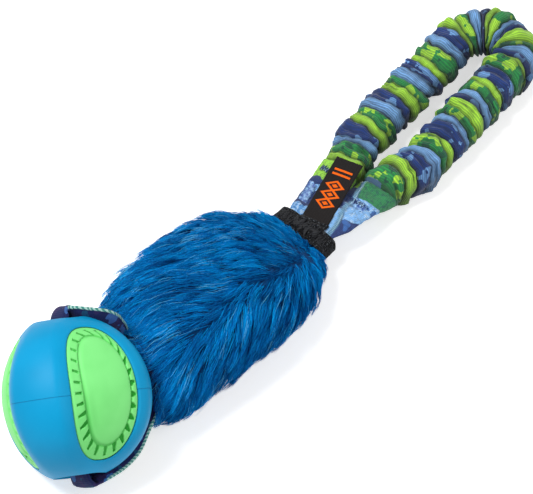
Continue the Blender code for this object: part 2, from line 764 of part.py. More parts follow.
def bend_points(count, overrun):
    """Middle line of the bend: a short lead, half an oval, and a short lead back."""
    oval_start = STRAND_END + BEND_LEAD
    places = [(STRAND_END - overrun, STRAND_HALF_SPACING)]
    for i in range(count + 1):
        angle = math.pi * i / count
        places.append((
            oval_start + (BEND_REACH - BEND_LEAD) * math.sin(angle),
            STRAND_HALF_SPACING * math.cos(angle),
        ))
    places.append((STRAND_END - overrun, -STRAND_HALF_SPACING))
    return [on_handle(along, across, STRAND_HEIGHT) for along, across in places]


def make_bend(floor):
    """The ruched bend at the handle's far end, which a pull carries away from the strands."""
    stretch = empty_at(
        "stretch_axis",
        Matrix.Translation(on_handle(STRAND_END, 0.0, STRAND_HEIGHT))
        @ Matrix.Rotation(HANDLE_TURN, 4, "Z"),
    )
    points = bend_points(2 * BEND_RIBS - 3, 0.0)
    shares = ruched_shares(BEND_RIBS)
    ruched = tube("ruched_tube_bend", points, STRAND_RADIUS, shares, STRAND_SIDES, PARTS)
    plain = bend_points(BEND_RIBS + 1, OVERRUN)
    bore = as_cutter(tube(
        "bore_bend", plain, BORE_RADIUS, [1.0] * len(plain), STRAND_SIDES, CUTTERS
    ))
    cut(ruched, bore)
    cut(ruched, floor)
    finish(ruched, (0.06, 0.16, 0.42), 0.9)
    carry(ruched, stretch)
    inner = bend_points(BEND_RIBS + 1, 0.0)
    bungee = tube(
        "bungee_core_bend", inner, BUNGEE_RADIUS, [1.0] * len(inner), STRAND_SIDES, PARTS
    )
    finish(bungee, (0.02, 0.02, 0.02), 0.7)
    carry(bungee, stretch)


def base_station(share, side):
    """Middle, width and thickness of a sewn base, from the binding to its strand."""
    root_offset = (LEFT_ROOT_OFFSET if side > 0 else RIGHT_ROOT_OFFSET) + HANDLE_SHIFT
    step = (CORE_END_THICKNESS + BASE_ROOT_THICKNESS) / 2 + GAP
    root = BINDING_LENGTH / 2 - BASE_ROOT_INSET
    end = STRAND_START - GAP
    width_shares = ((0.0, 0.0), (0.11, 0.0), (0.26, 1.0), (1.0, 1.0))
    thickness_shares = ((0.0, 0.0), (0.11, 0.0), (0.30, 1.0), (0.62, 1.35))
    along = mix(root, end, share)
    across = mix(root_offset, side * STRAND_START_OFFSET, share)
    width = mix(BASE_ROOT_WIDTH, BASE_WIDTH, table(width_shares, share))
    middle_part = mix(BASE_ROOT_THICKNESS, BASE_MID_THICKNESS, table(thickness_shares, share))
    thickness = mix(middle_part, BASE_END_THICKNESS, ease((share - 0.55) / 0.45))
    lifted = BINDING_HEIGHT - side * step
    height = mix(lifted, STRAND_HEIGHT, ease((share - 0.45) / 0.5))
    return on_handle(along, across, height), width, thickness


def base_top(share, side, across_share):
    """A place on a base's upper face."""
    middle, width, thickness = base_station(share, side)
    rise = (1 - abs(across_share) ** 2.6) ** (1 / 2.6)
    left = Vector((-math.sin(HANDLE_TURN), math.cos(HANDLE_TURN), 0.0))
    up = Vector((0.0, 0.0, 1.0))
    return middle + left * (width / 2 * across_share) + up * (thickness / 2 * rise)


def make_base(side_name, side, fold):
    """The flat sewn end of a strand: its fabric, its elastic and its bartack."""
    stations = 15
    left = Vector((-math.sin(HANDLE_TURN), math.cos(HANDLE_TURN), 0.0))
    up = Vector((0.0, 0.0, 1.0))
    outer = []
    inner = []
    for i in range(stations):
        share = i / (stations - 1)
        middle, width, thickness = base_station(share, side)
        outer.append(oval(middle, left, up, width / 2, thickness / 2, 2.6, 2 * BAND_POINTS))
        room = BASE_WALL + 1.6 * GAP
        reach = min(width / 2 - room, mix(width, 2 * BUNGEE_RADIUS, ease(share)) / 2)
        rise = min(thickness / 2 - room, BUNGEE_RADIUS)
        inner.append(oval(middle, left, up, reach * 0.86, rise * 0.8, 2.6, BAND_POINTS))
    fabric = skin(f"handle_base_{side_name}", outer, PARTS, caps=False)
    hollow(fabric, BASE_WALL)
    finish(fabric, (0.06, 0.13, 0.40), 0.88)
    carry(fabric, fold)
    elastic = skin(f"elastic_end_{side_name}", inner, PARTS)
    finish(elastic, (0.02, 0.02, 0.02), 0.75)
    carry(elastic, fold)
    count = 2 * BARTACK_ZIGZAGS
    length = STRAND_START - GAP - BINDING_LENGTH / 2 + BASE_ROOT_INSET
    centre_share = 1 - BARTACK_FROM_STRAND / length
    points = []
    for i in range(count + 1):
        across = mix(-1, 1, i / count) * BARTACK_HALF_WIDTH * 2 / BASE_WIDTH
        swing = BARTACK_REACH / length * (0.5 if i % 2 else -0.5)
        spot = base_top(centre_share + swing, side, across)
        points.append(spot + up * (GAP + THREAD_RADIUS))
    tack = thread(f"base_bartack_{side_name}", points)
    finish(tack, (0.05, 0.12, 0.40), 0.4)
    carry(tack, fold)


def make_label():
    """The woven label, rooted at the binding and lying over the bases."""
    fold = empty_at("label_fold", Matrix.Translation(HANDLE_FOLD))
    work = bmesh.new()
    bmesh.ops.create_cube(work, size=1.0)
    size = Vector((LABEL_LENGTH, LABEL_WIDTH, LABEL_THICKNESS))
    bmesh.ops.scale(work, verts=work.verts, vec=size)
    bmesh.ops.translate(work, verts=work.verts, vec=Vector((LABEL_LENGTH / 2, 0.0, 0.0)))
    bmesh.ops.rotate(work, verts=work.verts, matrix=Matrix.Rotation(-LABEL_RISE, 3, "Y"))
    bmesh.ops.rotate(work, verts=work.verts, matrix=Matrix.Rotation(LABEL_TURN, 3, "Z"))
    clear = GAP + LABEL_WIDTH / 2 * math.sin(LABEL_TURN)
    root = Vector((BINDING_FRONT + clear, LABEL_ROOT_OFFSET, LABEL_HEIGHT))
    bmesh.ops.translate(work, verts=work.verts, vec=root)
    label = object_from("label", work, PARTS)
    finish(label, (0.018, 0.016, 0.015), 0.7)
    carry(label, fold)


def main():
    """Build every piece, from the ball to the handle's far end."""
    clear_scene()
    floor = make_floor_cutter()
    make_ball()
    make_strap()
    make_sleeve(floor)
    make_core()
    make_seam()
    make_binding()
    fold = empty_at("handle_fold", Matrix.Translation(HANDLE_FOLD))
    for side_name, side in (("left", 1), ("right", -1)):
        make_base(side_name, side, fold)
        make_strand(side_name, side, floor, fold)
    make_bend(floor)
    make_label()


main()
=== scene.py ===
"""Bungee tug toy, dressed: rubber ball, fur sleeve and ruched elastic handle."""

import math

import bmesh
import bpy
import numpy as np
from mathutils import Matrix, Vector, noise


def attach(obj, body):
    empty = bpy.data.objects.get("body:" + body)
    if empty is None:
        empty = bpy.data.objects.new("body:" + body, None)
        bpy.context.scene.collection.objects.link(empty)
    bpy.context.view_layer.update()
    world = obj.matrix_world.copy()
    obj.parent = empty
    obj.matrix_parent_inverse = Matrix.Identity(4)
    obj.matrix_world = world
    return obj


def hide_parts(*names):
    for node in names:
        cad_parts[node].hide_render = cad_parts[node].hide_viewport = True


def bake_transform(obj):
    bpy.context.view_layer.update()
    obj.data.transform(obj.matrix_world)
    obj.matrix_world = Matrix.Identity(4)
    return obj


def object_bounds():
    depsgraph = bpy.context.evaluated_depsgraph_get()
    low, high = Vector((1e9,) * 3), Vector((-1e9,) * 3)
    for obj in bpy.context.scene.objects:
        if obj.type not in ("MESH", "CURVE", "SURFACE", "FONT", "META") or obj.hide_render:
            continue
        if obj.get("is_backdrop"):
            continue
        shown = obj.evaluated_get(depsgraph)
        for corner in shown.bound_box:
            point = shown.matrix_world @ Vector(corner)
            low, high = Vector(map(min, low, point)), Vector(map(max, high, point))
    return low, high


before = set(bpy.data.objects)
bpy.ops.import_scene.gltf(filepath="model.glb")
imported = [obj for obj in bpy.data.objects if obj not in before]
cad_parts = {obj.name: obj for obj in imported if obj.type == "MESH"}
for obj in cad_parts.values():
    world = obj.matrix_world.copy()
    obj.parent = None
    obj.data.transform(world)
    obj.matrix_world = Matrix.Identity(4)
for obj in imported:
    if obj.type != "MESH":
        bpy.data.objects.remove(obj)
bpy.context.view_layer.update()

# --- Camera -------------------------------------------------------------------------------
# The toy lies on a white table and is seen from its ball end, from half way up the sky,
# through a long lens that keeps the strands parallel.
BALL_MIDDLE = Vector((-0.085, 0.0, 0.035))
METRES_PER_PIXEL = 0.00042
FRAME_WIDTH = 533 * METRES_PER_PIXEL
FRAME_RIGHT_OF_BALL = 197.5 * METRES_PER_PIXEL
FRAME_ABOVE_BALL = 151 * METRES_PER_PIXEL
SENSOR_WIDTH = 36
LENS_DISTANCE = 6.0
CAMERA_REACH = 50
scene = bpy.context.scene
scene.view_settings.view_transform = "Standard"
shot_right = Vector((0.669, -0.743, 0.0)).normalized()
shot_ahead = Vector((0.478, 0.430, -0.766)).normalized()
shot_up = shot_right.cross(shot_ahead).normalized()
shot_right = shot_ahead.cross(shot_up).normalized()
shot_middle = BALL_MIDDLE + shot_right * FRAME_RIGHT_OF_BALL + shot_up * FRAME_ABOVE_BALL
camera_data = bpy.data.cameras.new("photographer")
camera_data.sensor_width = SENSOR_WIDTH
camera_data.lens = LENS_DISTANCE * SENSOR_WIDTH / FRAME_WIDTH
camera_data.clip_end = CAMERA_REACH
camera = bpy.data.objects.new("photographer", camera_data)
scene.collection.objects.link(camera)
stand = Matrix((shot_right, shot_up, -shot_ahead)).transposed().to_4x4()
stand.translation = shot_middle - shot_ahead * LENS_DISTANCE
camera.matrix_world = stand
scene.camera = camera

# --- Rubber ball --------------------------------------------------------------------------
# Moulded blue rubber, satin smooth: a sphere with three sides drawn in flat round the strap
# hole, soft collars round the pockets that hold the inserts, and a fine parting line.
BALL_RADIUS = 0.035
BALL_ROWS, BALL_COLUMNS = 120, 216
BALL_CREASE = math.radians(50)
POLE_TURN, POLE_RISE, FIRST_SIDE = math.radians(51.3), math.radians(36.4), math.radians(210.0)
THIRD_OF_TURN = 2 * math.pi / 3
FLAT_SIDE = 0.0265
FLAT_ARC = 0.046
COLLAR_SOFTNESS = 0.0022
POCKET_HALF_WIDTH = 0.0168
POCKET_HALF_LENGTH = 0.0279
POCKET_SQUARENESS = 2 / 2.3
POCKET_COLUMNS = 96
# Each layer of a pocket's cutter: its scale, how much wider than the pocket, and its height.
POCKET_LAYERS = (
    (0.02, 0.0, -0.0046), (1.0, 0.0003, -0.0046), (1.0, 0.0003, -0.0005), (1.0, 0.00055, -0.00025),
    (1.0, 0.0014, 0.0001), (1.0, 0.0036, 0.0012), (1.0, 0.0036, 0.004), (0.02, 0.0, 0.004),
)
HOLE_COLUMNS = 72
# Radius of the strap's hole at each height over the ball's middle.
HOLE_PROFILE = (
    (0.00001, 0.040), (0.0145, 0.040), (0.0128, 0.0352), (0.0116, 0.0336), (0.0101, 0.0314),
    (0.0092, 0.0286), (0.0088, 0.024),
)
ball_seat = (
    Matrix.Translation(BALL_MIDDLE) @ Matrix.Rotation(POLE_TURN, 4, "Z")
    @ Matrix.Rotation(math.pi / 2 - POLE_RISE, 4, "Y") @ Matrix.Rotation(FIRST_SIDE, 4, "Z")
)
ball_pole = (ball_seat.to_3x3() @ Vector((0, 0, 1))).normalized()


def maths(operation, mirrored=False):
    """A method that puts a Math node on a value and the others given, which come first if mirrored."""
    def result(self, *others):
        terms = (*others, self) if mirrored else (self, *others)
        return self.bench.add("Math", {"operation": operation}, terms)
    return result


def light_of(colour):
    """A colour given as it looks on a screen, 0 to 255, as Blender wants it."""
    shares = [value / 255 for value in colour]
    return *(v / 12.92 if v <= 0.04045 else ((v + 0.055) / 1.055) ** 2.4 for v in shares), 1.0


class Dye:
    """A value or colour on its way through a node tree, which can be added, mixed and compared."""

    def __init__(self, bench, socket):
        self.bench, self.socket = bench, socket

    __add__ = __radd__ = maths("ADD")
    __sub__, __rsub__ = maths("SUBTRACT"), maths("SUBTRACT", mirrored=True)
    __mul__ = __rmul__ = maths("MULTIPLY")
    __truediv__, __pow__, __mod__ = maths("DIVIDE"), maths("POWER"), maths("FLOORED_MODULO")
    __gt__, __lt__ = maths("GREATER_THAN"), maths("LESS_THAN")
    sine, size, lesser = maths("SINE"), maths("ABSOLUTE"), maths("MINIMUM")

    def part(self, name):
        return Dye(self.bench, self.socket.node.outputs[name])

    def step(self, low, high):
        """0 below the low value and 1 above the high one, with a soft climb between."""
        return self.bench.add("MapRange", {"interpolation_type": "SMOOTHSTEP"}, (self, low, high, 0.0, 1.0))

    def wave(self, rate):
        """A wave from 0 to 1 over the value."""
        return (self * rate).sine() * 0.5 + 0.5


class Bench:
    """A node tree in the making, every node of which comes from one method."""

    def __init__(self, tree):
        self.tree = tree

    def full_name(self, kind):
        return "ShaderNode" + kind

    def add(self, kind, settings=None, values=(), out=None):
        node = self.tree.nodes.new(self.full_name(kind))
        for key, value in (settings or {}).items():
            setattr(node, key, value)
        for key, value in values.items() if isinstance(values, dict) else enumerate(values):
            if isinstance(value, Dye):
                self.tree.links.new(value.socket, node.inputs[key])
            elif value is not None:
                node.inputs[key].default_value = value
        shown = [output for output in node.outputs if output.enabled] or node.outputs
        return Dye(self, shown[0] if out is None else node.outputs[out])

    def vector(self, operation, *values):
        return self.add("VectorMath", {"operation": operation}, values)

    def along(self, vector, direction):
        return self.add("VectorMath", {"operation": "DOT_PRODUCT"}, (vector, direction), out=1)


class Finish(Bench):
    """A material made node by node on one Principled shader."""

    def __init__(self, name, colour, roughness, **constants):
        self.material = bpy.data.materials.new(name)
        self.material.use_nodes = True
        self.material.diffuse_color = light_of(colour)
        super().__init__(self.material.node_tree)
        self.shader = self.tree.nodes["Principled BSDF"]
        self.set("Base Color", light_of(colour))
        self.set("Roughness", roughness)
        for key, value in constants.items():
            self.set(key.replace("_", " ").title().replace("Ior", "IOR"), value)

    def set(self, name, value):
        socket = self.shader.inputs[name]
        if isinstance(value, Dye):
            self.tree.links.new(value.socket, socket)
        else:
            socket.default_value = value

    def place(self):
        return self.add("TexCoord").part("Object")

    def mark(self, label):
        """The value that the piece keeps for each point under a label."""
        return self.add("Attribute", {"attribute_name": label}).part("Fac")

    def blend(self, share, under, over):
        under, over = [light_of(dye) if isinstance(dye, tuple) else dye for dye in (under, over)]
        return self.add("Mix", {"data_type": "RGBA"}, {0: share, 6: under, 7: over}, out=2)

    def cloud(self, vector, scale, detail=2.0, roughness=0.5):
        values = {"Vector": vector, "Scale": scale, "Detail": detail, "Roughness": roughness}
        return self.add("TexNoise", {}, values)

    def dress(self, colour, roughness=None, relief=None):
        """The surface's colour, and where given its roughness and the height of its relief."""
        self.set("Base Color", colour)
        if roughness is not None:
            self.set("Roughness", roughness)
        if relief is not None:
            self.set("Normal", self.add("Bump", {}, {"Height": relief, "Strength": 1.0, "Distance": 1.0}))


def piece_from(name, places, faces, *finishes, edges=()):
    """A smooth-shaded piece at the origin, from its points and faces."""
    mesh = bpy.data.meshes.new(name)
    mesh.from_pydata([tuple(place) for place in places], edges, faces)
    mesh.validate()
    mesh.update()
    mesh.shade_smooth()
    piece = bpy.data.objects.new(name, mesh)
    scene.collection.objects.link(piece)
    for finish in finishes:
        mesh.materials.append(finish.material)
    return piece


def settled(piece):
    """The piece as a plain mesh, with its modifiers worked in and taken off."""
    shown = piece.evaluated_get(bpy.context.evaluated_depsgraph_get())
    mesh = bpy.data.meshes.new_from_object(shown)
    piece.modifiers.clear()
    piece.data = mesh
    return piece


def facing_out(piece, weld=None):
    """The piece with its faces turned outwards, and doubled points joined where a distance is given."""
    work = bmesh.new()
    work.from_mesh(piece.data)
    if weld:
        bmesh.ops.remove_doubles(work, verts=work.verts, dist=weld)
    bmesh.ops.recalc_face_normals(work, faces=work.faces)
    work.to_mesh(piece.data)
    work.free()
    return piece


def grid_faces(rows, columns, wrap=True, loop=False):
    """Quads over rows of points; wrapped, each row closes on itself, and looped, the last row meets the first."""
    return [
        (row * columns + i, row * columns + (i + 1) % columns,
         (row + 1) % rows * columns + (i + 1) % columns, (row + 1) % rows * columns + i)
        for row in range(rows if loop else rows - 1) for i in range(columns if wrap else columns - 1)
    ]


def marked(piece, **columns):
    """The piece with a value or a direction kept for each point under each name, for its finish to read."""
    for label, values in columns.items():
        values = np.array(values, np.float32)
        kind, field = ("FLOAT_VECTOR", "vector") if values.ndim > 1 else ("FLOAT", "value")
        piece.data.attributes.new(label, kind, "POINT").data.foreach_set(field, values.ravel())
    return piece


def tube_piece(name, rings, *finishes, **columns):
    """A piece from rings of points, closed at both ends, which keeps a value for each point under each name."""
    rows, size = len(rings), len(rings[0])
    faces = grid_faces(rows, size) + [tuple(range(size)), tuple(range(rows * size - size, rows * size))]
    piece = piece_from(name, np.concatenate(rings), faces, *finishes)
    return facing_out(marked(piece, **{label: np.ravel(values) for label, values in columns.items()}))


def turns_of(count):
    return np.arange(count) * 2 * math.pi / count


def squared(turns, power):
    """Cosine and sine of the turns with their size raised to a power: below 1 the circle grows corners."""
    return [np.sign(way) * np.abs(way) ** power for way in (np.cos(turns), np.sin(turns))]


def flat_depth(along):
    """Distance of a flattened side from the strap hole's middle line."""
    return FLAT_SIDE - FLAT_ARC + np.sqrt(FLAT_ARC ** 2 - along ** 2)


def ball_surface(directions):
    """Distance from the ball's middle to its skin along each direction."""
    reach = np.full(len(directions), BALL_RADIUS)
    middle = FLAT_SIDE - FLAT_ARC
    for turn in THIRD_OF_TURN * np.arange(3):
        outward = directions[:, 0] * math.cos(turn) + directions[:, 1] * math.sin(turn)
        square = outward ** 2 + directions[:, 2] ** 2
        root = np.sqrt((outward * middle) ** 2 + square * (FLAT_ARC ** 2 - middle ** 2))
        distance = (outward * middle + root) / np.maximum(square, 1e-6)
        nearer = np.clip(0.5 + (distance - reach) / (2 * COLLAR_SOFTNESS), 0, 1)
        reach = distance * (1 - nearer) + reach * nearer - COLLAR_SOFTNESS * nearer * (1 - nearer)
    return reach


ball_rubber = Finish("ball_rubber", (2, 144, 196), 0.44, specular_ior_level=0.16)
spot = ball_rubber.place()
up_pole = ball_rubber.along(ball_rubber.vector("SUBTRACT", spot, tuple(BALL_MIDDLE)), tuple(ball_pole))
parting = 1 - (up_pole + 0.0006).size().step(0.00008, 0.00022)
tone = ball_rubber.cloud(spot, 38.0)
grain = ball_rubber.cloud(spot, 5200.0)
rubber_blue = ball_rubber.blend(tone.step(0.3, 0.7), (0, 141, 191), (2, 149, 200))
# The parting line is a fine groove in the relief, and its darker blue is painted shade in that groove.
ball_rubber.dress(
    ball_rubber.blend(parting * 0.5, rubber_blue, (2, 96, 150)),
    roughness=0.44 + 0.08 * tone, relief=grain * 0.00003 - parting * 0.00016,
)

rows, turns = np.linspace(0, math.pi, BALL_ROWS), turns_of(BALL_COLUMNS)
directions = np.stack([
    np.outer(np.sin(rows), np.cos(turns)), np.outer(np.sin(rows), np.sin(turns)),
    np.outer(np.cos(rows), np.ones(BALL_COLUMNS)),
], -1).reshape(-1, 3)
skin_points = directions * ball_surface(directions)[:, None]
ball = piece_from("rubber_ball", skin_points, grid_faces(BALL_ROWS, BALL_COLUMNS), ball_rubber)
facing_out(ball, weld=0.000005)

across, along = squared(turns_of(POCKET_COLUMNS), POCKET_SQUARENESS)
layers = []
for scale, wider, lift in POCKET_LAYERS:
    y, z = across * (POCKET_HALF_WIDTH + wider) * scale, along * (POCKET_HALF_LENGTH + wider) * scale
    layers.append(np.stack([flat_depth(z) + lift, y, z], -1))
cutters = []
for number in range(3):
    cutters.append(tube_piece(f"pocket_cut_{number}", layers))
    cutters[-1].data.transform(Matrix.Rotation(THIRD_OF_TURN * number, 4, "Z"))
hole_profile = HOLE_PROFILE + tuple((radius, -height) for radius, height in reversed(HOLE_PROFILE))
cutters.append(tube_piece("hole_cut", [
    [(radius * math.cos(turn), radius * math.sin(turn), height) for turn in turns_of(HOLE_COLUMNS)]
    for radius, height in hole_profile
]))
for cutter in cutters:
    cut = ball.modifiers.new("cut", "BOOLEAN")
    cut.operation, cut.solver, cut.object = "DIFFERENCE", "EXACT", cutter
settled(ball)
for cutter in cutters:
    bpy.data.objects.remove(cutter)
ball.data.transform(ball_seat)
ball.data.shade_smooth()
ball.data.set_sharp_from_angle(angle=BALL_CREASE)
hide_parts("ball_body")
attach(ball, "ball")

# --- Soft inserts -------------------------------------------------------------------------
# Three ovals of softer green rubber, each pressed into its pocket: a bare domed panel with a
# moat round it, and a border with a row of small slots that the teeth grip.
SLOTS = 27
SLOT_COLUMNS = 20
SLOT_SHARE = 0.17
SLOT_FROM, SLOT_TO = 1.10, 3.30
SLOT_DEPTH = 0.62
MOAT_MIDDLE = 4.15
INSERT_CREASE = math.radians(48)
OVAL_SAMPLES = 4000
OVALS, OVALS_PER_MM = 101, 10
PANEL_RINGS = (0.80, 0.55, 0.30, 0.08)
PANEL_HEIGHT, PANEL_FALL = 0.00176, 0.0009
# Height of the insert's face over the flattened side at each inset from its rim, in millimetres.
INSERT_PROFILE = (
    (0.0, -4.2), (0.0, -2.0), (0.0, -0.9), (0.10, -0.50), (0.30, -0.24), (0.60, -0.08), (0.80, 0.0),
    (0.95, 0.05), (1.05, 0.07), (1.17, 0.10), (1.6, 0.18), (2.0, 0.26), (2.3, 0.30), (2.6, 0.34), (2.8, 0.35),
    (3.0, 0.36), (3.24, 0.34), (3.36, 0.32), (3.60, 0.22), (3.78, 0.02), (3.90, -0.22), (4.02, -0.34),
    (4.25, -0.36), (4.45, -0.28), (4.60, -0.05), (4.75, 0.25), (5.0, 0.50), (5.4, 0.70), (6.0, 0.86),
)


def eased(share):
    """A share kept from 0 to 1, with a soft start and end."""
    share = np.clip(share, 0, 1)
    return share * share * (3 - 2 * share)


def hump(distance, width):
    """1 in the middle of a soft hump, and less with the distance from it."""
    return np.exp(-(distance / width) ** 2)


def even_oval(half_width, half_length, count):
    """Points spaced evenly round a pocket's outline, across and along."""
    across, along = squared(turns_of(OVAL_SAMPLES), POCKET_SQUARENESS)
    across, along = np.append(across, across[0]) * half_width, np.append(along, along[0]) * half_length
    run = np.concatenate([[0], np.cumsum(np.hypot(np.diff(across), np.diff(along)))])
    wanted = np.arange(count) / count * run[-1]
    return np.interp(wanted, run, across), np.interp(wanted, run, along)


# Round the rim the slots slant near one end, are wider at the other, and are wedges on two sides.
insert_columns = np.arange(SLOTS * SLOT_COLUMNS)
slot_phase = insert_columns / SLOT_COLUMNS
column_turn = insert_columns / len(insert_columns)
slot_slant = 0.26 * hump(column_turn - 0.22, 0.13)
end_width = 0.030 * hump(column_turn - 0.78, 0.12)
low_side = hump(column_turn - 0.64, 0.14)
slot_wedge = np.maximum(low_side * 0.9, np.clip(np.cos(2 * math.pi * (column_turn + 0.03)) * 1.6, 0, 1))
open_side = np.clip(0.5 + 4.0 * (0.30 - hump(column_turn - 0.44, 0.10)), 0, 1)
border_share = 1.15 - 0.35 * np.cos(2 * math.pi * column_turn) - 0.18 * np.sin(2 * math.pi * column_turn)


def slot_at(inset):
    """Share of each column that lies in a slot at an inset; the wedges widen towards the moat."""
    half = SLOT_SHARE / 2 + end_width + slot_wedge * 0.17 * eased((inset - 1.0) / 2.6)
    phase = (slot_phase + slot_slant * (inset - 2.4)) % 1
    within = (inset > SLOT_FROM) * (inset <= SLOT_TO + open_side * 0.65)
    return np.clip((half + 0.03 - np.abs(phase - 0.5)) / 0.05, 0, 1) * within


inner_ovals = np.array([
    even_oval(POCKET_HALF_WIDTH - inset, POCKET_HALF_LENGTH - inset, len(insert_columns))
    for inset in np.arange(OVALS) / OVALS_PER_MM / 1000
])
insert_rows, insert_hollow = [], []
for inset, lift in INSERT_PROFILE:
    wanted = inset * (1 + (border_share - 1) * eased(inset / 1.2)) * OVALS_PER_MM
    lower = np.minimum(wanted.astype(int), OVALS - 2)
    part = wanted - lower
    outer, inner = inner_ovals[lower, :, insert_columns], inner_ovals[lower + 1, :, insert_columns]
    y, z = outer.T * (1 - part) + inner.T * part
    slot = slot_at(inset)
    height = (lift * (1 - slot) + min(lift, -SLOT_DEPTH) * slot) / 1000
    insert_rows.append(np.stack([flat_depth(z) + height, y, z], -1))
    # Painted shade: the slots, the moat and the border's low side are painted darker green, most in the slots and
    # in the moat on the low side.
    moat_shade = (0.34 + 0.40 * low_side) * hump(inset - MOAT_MIDDLE, 0.42 + 0.30 * low_side)
    hollow = np.maximum(slot * (0.66 + 0.34 * slot_wedge), np.maximum(moat_shade, 0.14 * low_side))
    insert_hollow.append(hollow * (inset > 0.05))
rim_y, rim_z = insert_rows[-1][:, 1], insert_rows[-1][:, 2]
for share in PANEL_RINGS:
    y, z = [rim.mean() + (rim - rim.mean()) * share for rim in (rim_y, rim_z)]
    insert_rows.append(np.stack([flat_depth(z) + PANEL_HEIGHT - PANEL_FALL * share ** 2, y, z], -1))
    insert_hollow.append(np.zeros(len(insert_columns)))

insert_rubber = Finish("insert_rubber", (128, 228, 130), 0.48, specular_ior_level=0.16)
spot = insert_rubber.place()
tone = insert_rubber.cloud(spot, 60.0)
green = insert_rubber.blend(tone.step(0.3, 0.7), (120, 222, 122), (130, 230, 132))
# The darker green is painted shade over the slots, the moat and the border's low side.
insert_rubber.dress(
    insert_rubber.blend(insert_rubber.mark("hollow"), green, (34, 150, 44)),
    roughness=0.42 + 0.10 * tone, relief=insert_rubber.cloud(spot, 3600.0, 3.0) * 0.00004,
)

for number in range(3):
    insert = tube_piece(f"oval_insert_{number + 1}", insert_rows, insert_rubber, hollow=insert_hollow)
    insert.data.transform(ball_seat @ Matrix.Rotation(THIRD_OF_TURN * number, 4, "Z"))
    insert.data.set_sharp_from_angle(angle=INSERT_CREASE)
    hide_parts(f"ball_insert_{number + 1}")
    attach(insert, "ball")

# --- Ball strap ---------------------------------------------------------------------------
# A tube of the printed knit, pressed flat round webbing and hemmed along both edges. It comes
# out of the sleeve, runs through the ball and goes back in, and its two ends are sewn inside.
STRAP_WIDTH = 0.014
STRAP_THICKNESS = 0.003
STRAP_COLUMNS = 36
STRAP_SPAN_ROWS = 9
STRAP_FOLD = Vector((-0.023, 0.0, 0.022))
STRAP_END_SPACING = Vector((0, 0.00775, 0))
STRAP_CUP = 0.0011
CUP_FROM, CUP_WITHIN = 0.0335, 0.036
HEM_AT, HEM_DIP = 0.84, 0.30
LEAN_OUT, LEAN_BACK = 0.75, 0.58
MIDDLE_STOP = 12
# The stops between which the strap leans, each followed by how many it takes to start or end.
LEANING = ((2, 1.5, 7.6, 1.4), (16.4, 1.0, 23.5, 1.5))
WRAP_RADIUS = BALL_RADIUS + STRAP_THICKNESS / 2 + 0.0003
# The strap's way out of the sleeve: shares of the way along, across and up.
STRAP_OUT = ((0.25, 0.535, 0.017), (0.58, 0.60, 0.098), (0.85, 0.69, 0.205), (1.0, 0.73, 0.410))
# Its way round and through the ball, in wrap radii: along the hole, along the toy and up.
STRAP_ROUND = (
    (0.4908, 0.6325, 0.1855), (0.6848, 0.3804, 0.1617), (0.856, 0.195, 0.0856), (0.9368, 0.0904, 0.038),
    (0.9102, 0.019, 0.0076), (0.7989, 0.0, 0.0), (0.6277, 0.0, 0.0), (0.428, 0.0, 0.0), (-0.428, 0.0, 0.0),
    (-0.6467, 0.0, 0.0), (-0.8179, 0.0, 0.0), (-0.9701, 0.038, -0.019), (-1.0652, 0.1617, -0.0571),
    (-1.1318, 0.4755, -0.0285), (-1.1223, 0.8179, 0.0), (-0.9701, 1.0462, 0.0105),
)
STRAP_BACK = ((1.29, -1.16, -0.098), (0.917, -0.87, -0.048), (0.5, -0.645, -0.013), (0.25, -0.54, -0.002))


def in_sleeve(along, across, rise):
    return STRAP_FOLD + Vector((-0.023 * along, 0.0155 * across, 0.046 * rise))


def flowing(stops, per_span):
    """A smooth line through the stops."""
    ends = [2 * stops[0] - stops[1], *stops, 2 * stops[-1] - stops[-2]]
    line = [
        0.5 * (2 * b + (c - a) * t + (2 * a - 5 * b + 4 * c - d) * t ** 2 + (3 * b - a - 3 * c + d) * t ** 3)
        for a, b, c, d in zip(ends, ends[1:], ends[2:], ends[3:]) for t in np.arange(per_span) / per_span
    ]
    return [*line, stops[-1].copy()]


def square_to(way, tangent):
    return (way - tangent * way.dot(tangent)).normalized()


def wobble(x, y, z):
    """Smooth noise from -1 to 1 at points given by their coordinates, any of which may be one number."""
    x, y, z = np.broadcast_arrays(x, y, z)
    return np.array([noise.noise(Vector(place)) for place in zip(x.flat, y.flat, z.flat)]).reshape(x.shape)


